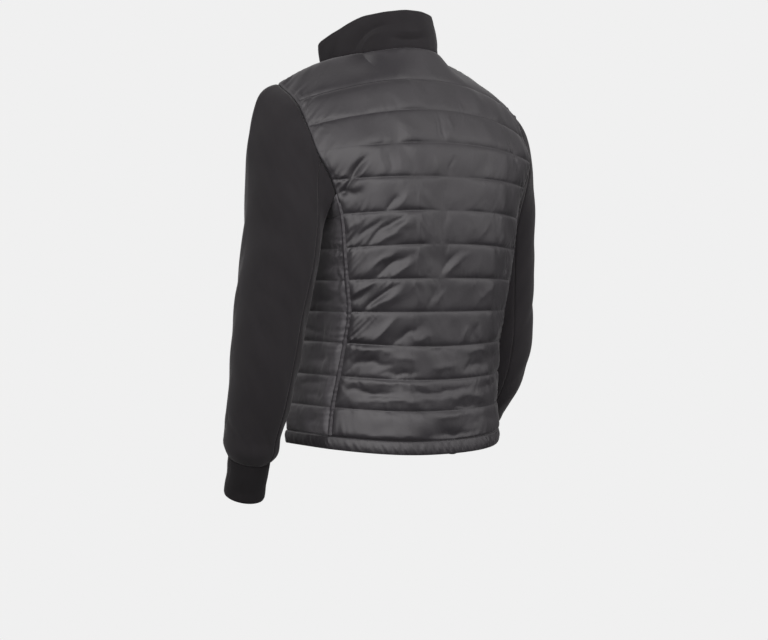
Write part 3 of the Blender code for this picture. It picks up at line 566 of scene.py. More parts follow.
RUFFLE_EASE, EASE_FROM_ROW, EASE_TO_ROW = 0.6, 8, 10
WANDER_ACROSS, WANDER_ACROSS_WAVES = 0.0022, (0.022, 0.080)
WANDER_DOWN, WANDER_DOWN_WAVES = 0.0016, (0.020, 0.070)
FOLD_ON_LINE = 0.3                      # how much of a fold is left on a stitch line
SEAM_START, SEAM_END = -0.002, 0.012    # the padding thins out towards the long seams
RIM_HEIGHT, RIM_PLACE, RIM_WIDTH = 0.0011, 0.0032, 0.0017
RIM_FULL_ROW, RIM_END_ROW = ARMPIT_ROW - 0.4, ARMPIT_ROW + 0.1
PUCKER_HEIGHT, PUCKER_WAVES, PUCKER_ROWS = 0.00030, (0.006, 0.009), (3.2, 3.7)
PUCKER_FROM, PUCKER_FULL, PUCKER_REACH = 0.003, 0.006, 0.017


def wadding(cloth, rows, share, lost):
    """How full the cloth stands, from 0 on a stitch line to about 1 between two.  A lost
    line is pulled flat from one place across to another."""
    rounding = 1 - np.exp(-share / ROUNDING_BELOW) - np.exp((share - 1) / ROUNDING_ABOVE)
    dome = np.clip(rounding, 0, 1) * (1 + CROWN * np.sin(np.pi * share))
    for line, from_across, to_across in lost:
        beyond = smoothstep(cloth.from_middle(), from_across * MM, to_across * MM)
        dome = dome + (1 - dome) * beyond * bell(rows[:, None] - line, LOST_REACH, 6)
    return dome


def gathers(cloth, rows, share, pitch, seed, pull):
    """Puckers that run into the channels from both sides of every stitch line."""
    across = cloth.across
    height = np.zeros_like(across)
    channel = (rows[:, None] - share).round()
    tight = pull * (TIGHT_MIDDLE + TIGHT_SEAM * np.exp(-cloth.sides() / TIGHT_REACH))
    for line in range(int(rows[0]), int(rows[-1]) + 2):
        below = channel == line
        away = np.where(below, share, 1 - share) * pitch
        strength = STRENGTH_SPREAD * ripple(across, seed + 31 * line, *STRENGTH_WAVES)
        strength = np.clip(GATHER_STRENGTH + strength, WEAKEST, STRONGEST)
        lean = GATHER_LEAN * ripple(across, seed + 57 * line, *LEAN_WAVES)
        waves = ripple(across + away * lean, seed + 77 * line, *GATHER_WAVES)
        fine = ripple(across - away * lean, seed + 91 * line, *FINE_GATHER_WAVES)
        fade = (1 - np.exp(-away / GATHER_START)) * np.exp(-away / GATHER_REACH)
        here = GATHER_HEIGHT * strength * (waves + FINE_GATHERS * fine) * fade * tight
        height += np.where((channel == line - 1) | below, here, 0)
    return height


def quilted(cloth, rows, seed, folds, rim, pull, lost=()):
    """Height of padded cloth over its stitch lines, gathered along them and folded.
    rim is how hard the long seams gather it, and pull how hard the stitch lines do."""
    across, down, near = cloth.across, cloth.down, cloth.sides()
    share = (rows - np.floor(rows + 1e-9))[:, None]
    pitch = np.gradient(down, rows, axis=0)
    dome = wadding(cloth, rows, share, lost)
    fullness = np.clip(pitch / FULL_CHANNEL, 0, FULLEST)
    height = DRAWN_PUFF * dome * fullness * (1 + UNEVEN * rumple(across, down, seed, *UNEVEN_WAVES))
    height += gathers(cloth, rows, share, pitch, seed, pull)
    height += SOFT_HEIGHT * dome * rumple(across, down, seed + 5, *SOFT_WAVES, lean=0.6, spread=0.8)
    ruffle = ripple(down + RUFFLE_LEAN * near, seed + 11, *RUFFLE_WAVES)
    ruffle *= smoothstep(near, 0, RUFFLE_START) * np.exp(-near / RUFFLE_REACH)
    ruffle *= 1 - RUFFLE_EASE * smoothstep(rows, EASE_FROM_ROW, EASE_TO_ROW)[:, None]
    height += RUFFLE_HEIGHT * ruffle * rim
    # the folds' edges wander
    placed_across = cloth.from_middle()
    placed_across += WANDER_ACROSS * rumple(across, down, seed + 17, *WANDER_ACROSS_WAVES)
    placed_down = np.broadcast_to(rows[:, None] * ROW_PITCH, across.shape)
    placed_down = placed_down + WANDER_DOWN * rumple(across, down, seed + 19, *WANDER_DOWN_WAVES)
    row_mm = ROW_PITCH / MM
    table = [(x, row * row_mm, to_x, to_row * row_mm, *rest) for x, row, to_x, to_row, *rest in folds]
    folded = creases(placed_across, placed_down, table)
    height += folded * (FOLD_ON_LINE + (1 - FOLD_ON_LINE) * dome)
    height *= smoothstep(near, SEAM_START, SEAM_END)
    return height + seam_roll(near) + seam_roll(cloth.ends())


def armhole_rim(cloth, rows, near, seed):
    """The seam stands up a little along the armhole, and its stitching puckers the cloth
    in small crossing ripples just above the armpit."""
    above = smoothstep(-rows, -RIM_END_ROW, -RIM_FULL_ROW)[:, None]
    crossing = ripple(near + cloth.down, seed, *PUCKER_WAVES)
    crossing += ripple(near - cloth.down, seed + 1, *PUCKER_WAVES)
    crossing *= smoothstep(near, PUCKER_FROM, PUCKER_FULL) * bell(near, PUCKER_REACH, 4)
    crossing *= smoothstep(rows, *PUCKER_ROWS)[:, None]
    return above * (RIM_HEIGHT * bell(near - RIM_PLACE, RIM_WIDTH) + PUCKER_HEIGHT * crossing)


def seam_roll(distance, depth=0.0013, width=0.0030):
    """The edge of a piece turns down into its seam."""
    return -depth * np.clip(1 - distance / width, 0, 1) ** 2


def sew_quilted(name, cloth, height, rows, nylon, node, thread, beside=()):
    """A quilted piece and its rows of stitching, also those beside its first long edge."""
    outer = sew(f"quilted_{name}", cloth, height, QUILTED_WALL, nylon, node)
    lines = []
    for line in range(int(rows[0]) + 1, HEM_ROW):
        at = int(np.argmin(np.abs(rows - line)))
        lines.append((outer[at], cloth.normals[at]))
    lines += [line_beside_edge(cloth, outer, inset) for inset in beside]
    stitch(f"quilting_{name}", lines, thread)


def make_torso(nylon, side_nylon_painted_light, thread):
    rows = channel_rows(0, HEM_ROW)
    side_rows = channel_rows(ARMPIT_ROW, HEM_ROW)
    half = half_panel("back", rows, np.linspace(0, 1, BACK_COLUMNS // 2 + 1))
    back = Cloth(np.concatenate([half[:, :0:-1] * MIRROR, half], axis=1)).flip()
    height = quilted(back, rows, 100, BACK_FOLDS, rim=1.0, pull=0.6, lost=LOST_LINES)
    height += armhole_rim(back, rows, back.sides(), 150)
    sew_quilted("back", back, height, rows, nylon, "back_panel", thread)
    for k, (name, turn) in enumerate(TURNS.items()):
        front = Cloth(half_panel("front", rows, np.linspace(0, 1, FRONT_COLUMNS)) * turn)
        front.flip(name == "right")
        height = quilted(front, rows, 200 + 10 * k, FRONT_FOLDS[name], rim=1.0, pull=0.7)
        height += armhole_rim(front, rows, front.width - front.across, 250 + k)
        sew_quilted(f"front_{name}", front, height, rows, nylon, f"front_{name}", thread,
                    [FRONT_STITCH])
        side = Cloth(side_panel(side_rows, np.linspace(0, 1, SIDE_COLUMNS)) * turn)
        side.flip(name == "left")
        height = quilted(side, side_rows, 300 + 10 * k, SIDE_FOLDS[name], rim=1.9, pull=1.0)
        # the side panels' nylon is painted lighter, standing in for light that the sleeves keep off
        # them
        sew_quilted(f"side_{name}", side, height, side_rows, side_nylon_painted_light, f"side_panel_{name}", thread)


# ---- hem, straps ----------------------------------------------------------------------
HEM_GATHER, HEM_LEAN, HEM_WAVES = 0.00042, 0.55, (0.007, 0.018)
HEM_LONG, HEM_LONG_WAVES = 0.7, (0.012, 0.040)
HEM_SHOULDER, HEM_FULLNESS, HEM_FADE = 0.04, 0.6, 0.7
STRAP_EDGE, STRAP_CROWN = 0.45, 1.7     # heights over the strap's wall
STRAP_SQUARENESS = 4
STRAP_PUCKER, PUCKER_ON_EDGE, STRAP_WAVES = 0.00024, 0.4, (0.007, 0.016)
STRAP_LONG, STRAP_LONG_WAVES = 0.6, (0.018, 0.050)
STRAP_GROOVE, STRAP_GROOVE_WIDTH = 0.0003, 0.14     # the width over the strap's half width
STRAP_FOOT_ROW = HEM_ROW - 0.02
BACK_BESIDE_SEAM = np.array([0.965, 1.0])       # stations
SIDE_BESIDE_SEAM = np.array([0.0, 0.08])


def hem_grid(rows):
    """Left zip edge round the back to the right zip edge."""
    front = half_panel("front", rows, np.linspace(0, 1, FRONT_COLUMNS))
    side = side_panel(rows, np.linspace(0, 1, HEM_SIDE_COLUMNS))
    back = half_panel("back", rows, np.linspace(0, 1, BACK_COLUMNS // 2 + 1))
    left = np.concatenate([front, side[:, ::-1][:, 1:-1], back[:, ::-1]], axis=1)
    return np.concatenate([left, left[:, -2::-1] * MIRROR], axis=1)


def make_hem(nylon, thread):
    share = np.linspace(0, 1, HEM_STEPS)[:, None]
    band = Cloth(hem_grid(HEM_ROW + share[:, 0]))
    puckers = ripple(band.across - HEM_LEAN * band.down, 401, *HEM_WAVES)
    puckers += HEM_LONG * ripple(band.across, 402, *HEM_LONG_WAVES)
    bulge = np.clip(HEM_SHOULDER + (1 - HEM_SHOULDER) * share, 0, 1)
    height = BINDING_BULGE * np.sin(np.pi * bulge) ** HEM_FULLNESS
    height = height + HEM_GATHER * puckers * np.sin(np.pi * share) ** HEM_FADE
    height += seam_roll(band.down, depth=0.0010, width=0.0025)
    outer = sew("hem_band", band, height, BINDING_WALL, nylon, "hem_binding")
    stitch("hem_stitching", [line_at_depth(band, outer, HEM_STITCH)], thread)


def strap_grid(rows, across):
    """Over the side-back seam, half of it on the back and half on the side panel."""
    back = half_panel("back", rows, BACK_BESIDE_SEAM)
    side = side_panel(rows, SIDE_BESIDE_SEAM)
    seam = back[:, None, 1]
    on_back, on_side = unit(back[:, None, 0] - seam), unit(side[:, 1] - side[:, 0])[:, None]
    width = STRAP_HALF_WIDTH * across[None, :, None]
    return seam + np.where(width < 0, -on_back * width, on_side * width)


def make_straps(nylon, thread):
    rows = np.linspace(BELOW_ARMPIT_ROW, STRAP_FOOT_ROW, STRAP_ROWS)
    across = np.linspace(-1, 1, STRAP_COLUMNS)
    crown = 0.5 * (1 - np.abs(across) ** STRAP_SQUARENESS)[None]
    groove = STRAP_GROOVE * bell(np.abs(across) - STRAP_STITCH, STRAP_GROOVE_WIDTH)[None]
    inset = STRAP_HALF_WIDTH * (1 - STRAP_STITCH)
    for k, (name, turn) in enumerate(TURNS.items()):
        strap = Cloth(strap_grid(rows, across) * turn).flip(name == "left")
        strap.normals = unit(strap.normals + strap.normals.mean(axis=1, keepdims=True))
        puckers = ripple(strap.down, 501 + k, *STRAP_WAVES)
        puckers += STRAP_LONG * ripple(strap.down, 511 + k, *STRAP_LONG_WAVES)
        height = STRAP_LIFT + STRAP_WALL * (STRAP_EDGE + STRAP_CROWN * crown) - groove
        height = height + STRAP_PUCKER * puckers * (PUCKER_ON_EDGE + crown)
        outer = sew(f"seam_strip_{name}", strap, height, STRAP_SINK, nylon, f"seam_strap_{name}")
        lines = [line_beside_edge(strap, outer, side) for side in (inset, -inset)]
        stitch(f"seam_strip_stitching_{name}", lines, thread)


# ---- sleeves --------------------------------------------------------------------------
CAP_OUTWARD = np.array([1.0, 0.0, -0.08])
CAP_DOWNWARD = np.array([0.45, 0.0, -0.90])
CAP_ROUNDNESS, CAP_FLOW = 1.5, 0.3      # how the cap leaves the armhole
ARM_PULL = 0.9                          # how straight it meets the arm
SLEEVE_WAVE, SLEEVE_WAVES = 0.0006, (0.05, 0.14)
CUFF_WAVE, CUFF_WAVES = 0.0007, (0.03, 0.09)
CUFF_EDGE, CUFF_EDGE_SHARE = 0.0009, 0.06       # its two ends turn in
SLEEVE_EASE_FROM, SLEEVE_EASE_TO = -0.004, 0.02         # folds thin out towards the seams


def armhole(first, last, steps):
    """Left armhole from one place to another: 0 to 1 is the back, 1 to 2 the underarm and
    2 to 3 the front.  Gives points and the torso's outward tangents."""
    points, tangents = [], []
    for place in np.linspace(first, last, steps):
        if 1 <= place <= 2:
            rows = np.array([BELOW_ARMPIT_ROW, ARMPIT_ROW])
            pair = side_panel(rows, np.array([place - 1]))[:, 0]
        else:
            kind, share = ("back", place) if place < 1 else ("front", 3 - place)
            pair = half_panel(kind, np.array([ARMPIT_ROW * share]), EDGE_PAIR)[0]
        points.append(pair[1])
        tangents.append(unit(pair[1] - pair[0]))
    return np.array(points), np.array(tangents)


def oval_rings(middle, along, half_sizes, angle):
    """Oval rings square to an arm, with half sizes across it and fore and aft."""
    across = unit(np.array([1.0, 0, 0]) - along * along[:, :1])
    fore_aft = np.cross(across, along)
    return (
        middle[:, None]
        + across[:, None] * (half_sizes[:, :1] * np.cos(angle))[..., None]
        + fore_aft[:, None] * (half_sizes[:, 1:] * np.sin(angle))[..., None]
    )


def sleeve_points(name, first, last, steps):
    """Columns run along the armhole; rows run down the arm."""
    points, tangents = armhole(first, last, steps)
    angle = np.arctan2(points[:, 1] - ARMHOLE_CENTRE[0], points[:, 2] - ARMHOLE_CENTRE[1])
    table = np.array(SLEEVES[name])
    drop = -table[:, 2]
    arm_rows = int(SLEEVE_ROWS * ARM_SHARE)
    stations = np.concatenate([
        np.linspace(drop[0], drop[-2], arm_rows), np.linspace(drop[-2], drop[-1], WRIST_ROWS)[1:]
    ])
    rings = smooth_through(drop, table, stations)
    middle, sizes = rings[:, :3], rings[:, 3:]
    arm = oval_rings(middle, unit(np.gradient(middle, axis=0)), sizes, angle)
    reach = np.linalg.norm(arm[0] - points, axis=1)[:, None]
    top = (0.5 + 0.5 * np.cos(angle))[:, None]
    start_pull = unit(
        CAP_OUTWARD * top**CAP_ROUNDNESS + CAP_DOWNWARD * (1 - top) + tangents * CAP_FLOW * top
    )
    start_pull *= reach * (UNDERARM_SPRING + (CAP_SPRING[name] - UNDERARM_SPRING) * top)
    end_pull = unit(arm[1] - arm[0]) * reach * ARM_PULL
    t = np.linspace(0, 1, SLEEVE_ROWS - arm_rows)[:, None, None]
    cap = hermite(points[None], start_pull[None], arm[0][None], end_pull[None], t)
    return np.concatenate([cap[:-1], arm])


def make_sleeves(softshell, knit):
    seam = SLEEVE_SEAM_ROW / ARMPIT_ROW
    half = TOP_SLEEVE_COLUMNS // 2 + 1
    for k, (name, turn) in enumerate(TURNS.items()):
        fore = sleeve_points(name, 3 - seam, 3, half)
        hind = sleeve_points(name, 0, seam, half)
        under = sleeve_points(name, seam, 3 - seam, UNDER_SLEEVE_COLUMNS)
        grids = {"top": np.concatenate([fore[:, :-1], hind], axis=1), "under": under}
        for part, grid in grids.items():
            sleeve = Cloth(grid * turn).flip(name == "right")
            height = sleeve_height(sleeve, SLEEVE_FOLDS[part, name], 600 + 10 * k)
            sew(f"sleeve_{part}_{name}", sleeve, height, SOFTSHELL_WALL, softshell,
                f"{part}_sleeve_{name}")
        make_cuff(name, turn, knit, 650 + k)


def sleeve_height(sleeve, folds, seed):
    across, down, near = sleeve.from_middle(), sleeve.down, sleeve.sides()
    height = SLEEVE_WAVE * rumple(across, down, seed, *SLEEVE_WAVES, lean=1.2, spread=0.7)
    height += creases(across, down, folds)
    height *= smoothstep(near, SLEEVE_EASE_FROM, SLEEVE_EASE_TO)
    height = height + seam_roll(near, depth=0.0010, width=0.0025)
    return height + seam_roll(sleeve.ends(), depth=0.0012, width=0.0030)


def make_cuff(name, turn, knit, seed):
    table = np.array(SLEEVES[name])
    start, before = table[-1, :3], table[-2, :3]
    along = np.tile(unit(start - before), (CUFF_ROWS, 1))
    angle = np.linspace(0, 2 * math.pi, CUFF_COLUMNS, endpoint=False)
    share = np.linspace(0, 1, CUFF_ROWS)[:, None]
    sizes = CUFF_HALF_SIZE * (1 - share) + CUFF_END_SIZE * share
    middle = start + along * ((SEAM_GAP + CUFF_LENGTH) * share - CUFF_TUCK * (1 - share))
    cuff = Cloth(oval_rings(middle, along, sizes, angle) * turn, around=True).flip(name == "right")
    waves = rumple(cuff.across, cuff.down, seed, *CUFF_WAVES, lean=1.4, spread=0.5)
    turned_in = np.clip(1 - share / CUFF_EDGE_SHARE, 0, 1)
    turned_in += np.clip((share - 1) / CUFF_EDGE_SHARE + 1, 0, 1) ** 2
    height = CUFF_WAVE * waves * np.sin(np.pi * share) - CUFF_EDGE * turned_in
    sew(f"wrist_band_{name}", cuff, height, CUFF_WALL, knit, f"cuff_{name}")


# ---- collar ---------------------------------------------------------------------------
COLLAR_WAVE, COLLAR_WAVES = 0.0005, (0.03, 0.09)
COLLAR_PLUMPNESS, PLUMP_REACH = 0.0006, 0.004           # inside its stitching
COLLAR_GROOVE, COLLAR_GROOVE_WIDTH = 0.0007, 0.0013
NECK_GROOVE, NECK_GROOVE_WIDTH = 0.0010, 0.0018


def eased(curve, reach=7, times=3):
    """The curve with its corners eased, its ends kept."""
    steps = np.arange(1, reach + 1)[:, None]
    for _ in range(times):
        before = curve[0] - steps[::-1] * (curve[1] - curve[0])
        after = curve[-1] + steps * (curve[-1] - curve[-2])
        curve = smoothed(np.concatenate([before, curve, after]), reach)
    return curve


def collar_points():
    station = np.linspace(0, 2, HALF_COLLAR_COLUMNS)
    base = np.where(
        (station <= 1)[:, None],
        neck_back(np.clip(station, 0, 1)),
        neck_front(np.clip(2 - station, 0, 1)),
    )
    table = np.array(COLLAR_TOP)
    top = base + smooth_through(table[:, 0], table[:, 1:], station)
    base, top = [eased(np.concatenate([half[:0:-1] * MIRROR, half])) for half in (base, top)]
    base = base - unit(top - base) * COLLAR_TUCK
    share = np.linspace(0, 1, COLLAR_ROWS)[:, None, None]
    grid = base[None] * (1 - share) + top[None] * share
    return grid + Cloth(grid).normals * COLLAR_BULGE * np.sin(np.pi * share)


def make_collar(softshell, thread):
    collar = Cloth(collar_points())
    across, down = collar.from_middle(), collar.down
    edge = np.minimum(collar.sides(), collar.length - down)
    height = COLLAR_WAVE * rumple(across, down, 701, *COLLAR_WAVES, lean=0.6, spread=0.8)
    height += creases(across, down, COLLAR_FOLDS)
    plump = COLLAR_PLUMPNESS * smoothstep(edge, 0, PLUMP_REACH)
    height += plump + seam_roll(edge, depth=0.0012, width=0.0016)
    height -= COLLAR_GROOVE * bell(edge - COLLAR_STITCH, COLLAR_GROOVE_WIDTH)
    height -= NECK_GROOVE * bell(down - COLLAR_TUCK, NECK_GROOVE_WIDTH)
    outer = sew("stand_collar", collar, height, COLLAR_WALL, softshell, "collar")
    lines = [line_at_depth(collar, outer, -COLLAR_STITCH)]
    lines += [line_beside_edge(collar, outer, side) for side in (COLLAR_STITCH, -COLLAR_STITCH)]
    stitch("collar_stitching", lines, thread)


# ---- zip ------------------------------------------------------------------------------
TOOTH_PITCH = 0.0027
TOOTH_THICKNESS = 0.0021
TOOTH_STANDS_OUT = 0.0002
TOOTH_STARTS = {"left": 0.25, "right": 0.75}     # in pitches, so that they mesh
# reach from the tape's edge towards the other side, half height; in mm
TOOTH_OUTLINE = ((-1.2, 0.72), (0.4, 0.72), (0.8, 0.50), (1.3, 0.74), (2.0, 0.56), (2.2, 0.0))
# each layer's size over the outline's, then its place over half the tooth's thickness
TOOTH_LAYERS = ((0.86, 1.0), (1.0, 0.7), (1.0, -0.7), (0.86, -1.0))
TAPE_CORDS, CORD_HEIGHT = 9, 0.00012
TAPE_GROOVE, TAPE_GROOVE_WIDTH = 0.0002, 0.0005
TWIST_EASE = 15                         # rows either side that share one direction
WELD_REACH = 0.001 * MM
CAST_EDGE = 0.00022
FLAT_ANGLE = 0.01
SHARP_ANGLE = 0.5


def opening_edge():
    """The left zip edge from the collar's front tip down to the hem, with directions."""
    collar = collar_points()[:0:-1]
    rows = np.linspace(0, LAST_ROW, ZIP_EDGE_ROWS)
    front = half_panel("front", rows, np.array([0.0, 1 / (FRONT_COLUMNS - 1)]))
    points = np.concatenate([collar[:, -1], front[:, 0]])
    inward = np.concatenate([collar[:, -1] - collar[:, -3], front[:, 0] - front[:, 1]])
    along = unit(np.gradient(points, axis=0))
    normal = unit(np.cross(inward, along))
    padded = np.pad(normal, ((TWIST_EASE, TWIST_EASE), (0, 0)), mode="edge")
    normal = unit(smoothed(padded, TWIST_EASE))
    normal *= -np.sign(normal[:, 1:2])
    crosswise = np.cross(along, normal)
    inward = unit(crosswise * np.sign(np.sum(crosswise * inward, axis=1, keepdims=True)))
    return points, along, inward, normal


def make_zip(tape_cloth, tooth_plastic, thread):
    points, along, inward, normal = opening_edge()
    near = points - inward * TAPE_UNDER_SEAM - normal * TAPE_SINK
    across = TAPE_WIDTH * np.linspace(0, 1, TAPE_COLUMNS)
    grid = near[:, None] + inward[:, None] * across[None, :, None]
    height = CORD_HEIGHT * np.sin(np.pi * TAPE_CORDS * across / TAPE_WIDTH) ** 2
    height = height - TAPE_GROOVE * bell(across - TAPE_STITCH, TAPE_GROOVE_WIDTH)
    height = np.tile(height, (len(grid), 1))
    ways = (grid[:, -1] - inward * TAPE_BEAD, along, inward, normal)
    for name, turn in TURNS.items():
        tape = Cloth(grid * turn).flip(name == "left")
        outer = sew(f"zip_tape_cloth_{name}", tape, height, TAPE_WALL, tape_cloth,
                    f"zip_tape_{name}")
        stitch(f"zip_tape_stitching_{name}", [line_beside_edge(tape, outer, TAPE_STITCH)], thread)
        make_beads(f"zip_teeth_{name}", teeth(ways, TOOTH_STARTS[name]) * turn,
                   2 * len(TOOTH_OUTLINE) - 1, tooth_plastic, name == "right")


def teeth(ways, start):
    """One side's moulded teeth, a bead of four layers each; start is in pitches."""
    length = run(ways[0])
    places = (np.arange(int(length[-1] / TOOTH_PITCH)) + start) * TOOTH_PITCH
    middle, down, across, out = [read_along(places, length, way)[:, None] for way in ways]
    half = np.array(TOOTH_OUTLINE) * MM
    outline = np.concatenate([half, half[-2::-1] * np.array([1, -1])])
    flat = across * outline[None, :, :1] + down * outline[None, :, 1:] + out * TOOTH_STANDS_OUT
    raised = out * (TOOTH_THICKNESS / 2)
    return np.concatenate([
        middle + flat * size + raised * place - out * (TAPE_WALL / 2) for size, place in TOOTH_LAYERS
    ], axis=1)


def make_hardware(zinc):
    """The diecast slider and its pull tab: their solids' forms, with the mould's soft edges."""
    for node, body in (("zip_slider", JACKET), ("zip_pull_tab", "pull_tab")):
        form = bmesh.new()
        form.from_mesh(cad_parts[node].data)
        bmesh.ops.remove_doubles(form, verts=form.verts, dist=WELD_REACH)
        bmesh.ops.dissolve_limit(form, angle_limit=FLAT_ANGLE, verts=form.verts, edges=form.edges)
        corners = [e for e in form.edges if e.is_manifold and e.calc_face_angle(0) > SHARP_ANGLE]
        bmesh.ops.bevel(form, geom=corners, offset=CAST_EDGE, segments=2, profile=0.5,
                        affect="EDGES", clamp_overlap=True)
        for face in form.faces:
            face.smooth = False
        mesh = bpy.data.meshes.new(node + "_cast")
        form.to_mesh(mesh)
        form.free()
        declare(link(node + "_cast", mesh, zinc), body, node)


# ---- folds, listed one by one ---------------------------------------------------------
# Torso folds run from (mm across from the panel's middle, row) to the same; then the bow,
# half width and height in mm.  A height below nothing is a trough.
BACK_FOLDS = (
    # hollow down the spine and the swells over the hem, as in the solids
    (12, 3.6, 8, 8.6, 0, 36, -4.8), (44, 11.1, 40, 11.8, 0, 26, 2.4),
    (-100, 11.2, -30, 11.6, 0, 20, -2.2), (-90, 9.3, -130, 9.5, 0, 13.3, -2.8),
    (64, 3.9, 60, 8.4, 0, 11, 3.0), (34, 4.2, 30, 8.2, 0, 20, -1.5), (40, 0.7, 60, 2.1, 0, 30, 2.4),
    (-40, 0.9, -70, 2.6, 0, 26, -2.2), (130, 1.2, 150, 2.2, 0, 24, -2.0),
    (96, 2.2, 60, 2.7, 0, 18, 0.9),
    # armpit crease and the soft upright folds between the shoulder blades
    (208, 4.42, 176, 4.37, 1, 7, -9.0), (206, 3.98, 176, 3.96, 1, 7, 2.6),
    (193, 4.36, 157, 3.36, 2, 5.4, -9.0),
    (176, 4.40, 149, 3.50, 2, 6.6, 4.4),
    (6, 2.08, 2, 2.98, 0, 3.8, -2.7), (-10, 2.05, -14, 2.80, 1, 5.7, 2.0),
    (14, 2.20, 12, 2.95, 0, 2.8, -1.1), (-2, 3.98, -14, 3.40, 1, 3.8, -2.1),
    (22, 3.90, 30, 3.35, 0, 3.8, 1.1), (128, 3.95, 132, 3.10, 2, 7.6, 1.4),
    (112, 3.95, 116, 3.20, 1, 5.7, -1.3), (95, 3.90, 98, 3.10, 0, 8.5, 1.4),
    (-166, 3.45, -158, 2.60, -3, 4.8, -3.6), (-152, 3.30, -146, 2.60, -2, 5.7, 2.0),
    # creases that fan up from the left side seam
    (118, 4.98, 98, 4.60, 1, 6.6, -3.8), (105, 5.00, 80, 4.45, 1, 8.5, 2.7),
    (155, 5.88, 88, 5.15, 3, 7.6, -5.5), (137, 5.95, 75, 5.25, 3, 8.5, 4.1),
    (188, 5.90, 125, 5.20, 2, 6.6, -3.8), (190, 5.55, 150, 5.10, 0, 5.7, 2.4),
    (135, 6.92, 80, 6.30, 3, 8.5, -5.5), (155, 6.86, 105, 6.15, 2, 6.6, 3.8),
    (112, 6.95, 70, 6.50, 1, 6.6, 2.6), (150, 7.92, 98, 7.22, 2, 5.7, -6.1),
    (140, 7.98, 88, 7.35, 2, 6.6, 4.3), (178, 7.50, 128, 7.06, -2, 5.7, 3.8),
    (180, 7.72, 136, 7.25, -2, 5.7, -3.4), (140, 9.00, 92, 8.20, 3, 9, 5.0),
    (104, 9.00, 50, 8.45, 2, 10, -4.6), (185, 8.86, 142, 8.82, 0, 12, 2.6),
    (60, 8.95, 25, 8.60, 1, 7.6, 2.4),
    # looser ones to the right of the middle
    (-2, 6.92, -42, 6.25, 2, 7.6, 2.7), (12, 6.90, -22, 6.20, 2, 7.6, -2.2),
    (-146, 6.90, -143, 6.20, 0, 4.8, -3.3), (-60, 5.80, -92, 5.25, 2, 7.6, 1.8),
    (22, 7.85, 4, 7.35, 0, 5.7, 2.2), (36, 7.90, 20, 7.30, 0, 7.6, -1.8),
    (-70, 7.70, -110, 7.20, 2, 8.5, 2.1), (-38, 8.95, -52, 8.40, 0, 7.6, 2.2),
    (-60, 8.95, -75, 8.30, 0, 8.5, -2.2), (-130, 8.80, -160, 8.30, 1, 7.6, 2.4),
    # dents and ripples over the hips: each falls away from a ridge to a trough below it
    (165, 9.16, 105, 9.18, 1, 7, 2.6), (162, 9.58, 100, 9.56, 1, 8, -4.4),
    (100, 9.32, 50, 9.38, 1, 6, 2.2), (118, 9.86, 50, 9.82, 1, 8, -3.8),
    (30, 9.10, -25, 9.12, 0, 6, -2.2), (25, 9.62, -25, 9.60, 1, 8, 2.6),
    (-42, 9.18, -105, 9.16, 1, 7, 2.4), (-45, 9.66, -105, 9.62, 1, 8, -4.0),
    (-120, 9.60, -160, 9.30, 1, 7.6, -2.2),
    (172, 10.38, 96, 10.44, -3, 7.0, -4.0), (80, 10.38, -50, 10.28, -3, 6.2, -3.6),
    (-70, 10.36, -150, 10.20, -3, 7.0, -3.5), (185, 10.10, 20, 10.12, 0, 4.8, 1.8),
    (150, 10.72, 20, 10.62, 2, 7.6, 2.6), (0, 10.60, -110, 10.54, 1, 8, 2.2),
    (5, 10.94, -110, 10.92, 0, 8, -2.6),
    (170, 11.10, 50, 11.12, 1, 9, -1.6), (168, 11.84, 32, 11.84, 1, 12, 3.0),
    (30, 11.18, -65, 11.14, 1, 8, 2.6), (42, 11.82, -72, 11.78, 1, 12, -4.2),
    (-90, 11.30, -150, 11.60, 1, 10, -2.4),
)
# stitch lines that run out into pulled cloth, and the mm across where they fade and end
LOST_LINES = ((3, 126, 174),)
FRONT_FOLDS = {
    "left": (
        (80, 4.60, 52, 3.70, -2, 6, -3.6), (66, 4.65, 40, 3.85, -2, 7, 2.3),
        (84, 5.85, 30, 5.25, -3, 8, -3.4), (76, 5.95, 24, 5.40, -3, 8, 2.5),
        (82, 6.90, 40, 6.25, -2, 8, -3.1), (70, 6.95, 30, 6.45, -2, 7, 2.1),
        (80, 7.80, 20, 7.20, -2, 7, -2.9), (20, 7.80, -20, 7.35, -1, 8, 1.6),
        (84, 8.80, 40, 8.30, -2, 9, 2.1), (40, 8.85, -10, 8.45, -1, 9, -2.2),
        (80, 10.35, -50, 10.25, 3, 8, -3.6), (70, 10.75, -30, 10.65, 2, 8, 2.2),
        (30, 11.40, -50, 11.55, 1, 10, -1.8), (-20, 2.90, -14, 2.20, 0, 5, -1.8),
        (20, 9.30, -30, 9.45, 1, 7, -2.1), (-40, 5.70, -60, 5.30, 0, 7, 1.3),
    ),
    "right": (
        (78, 4.55, 50, 3.65, -2, 6, -3.1), (62, 4.60, 38, 3.90, -2, 7, 2.1),
        (84, 5.80, 34, 5.30, -3, 8, -2.9), (80, 6.85, 30, 6.35, -2, 8, -3.4),
        (68, 6.90, 24, 6.50, -2, 7, 2.2), (84, 7.75, 28, 7.25, -2, 7, -2.5),
        (30, 7.85, -10, 7.40, -1, 8, 1.4), (82, 8.85, 30, 8.35, -2, 9, 2.0),
        (20, 8.80, -30, 8.50, -1, 9, -2.0), (80, 10.30, -40, 10.20, 3, 8, -3.4),
        (60, 10.70, -30, 10.60, 2, 8, 2.0), (10, 11.45, -60, 11.55, 1, 10, -1.7),
        (-16, 3.00, -10, 2.30, 0, 5, -1.6), (30, 9.35, -20, 9.50, 1, 7, -2.0),
    ),
}
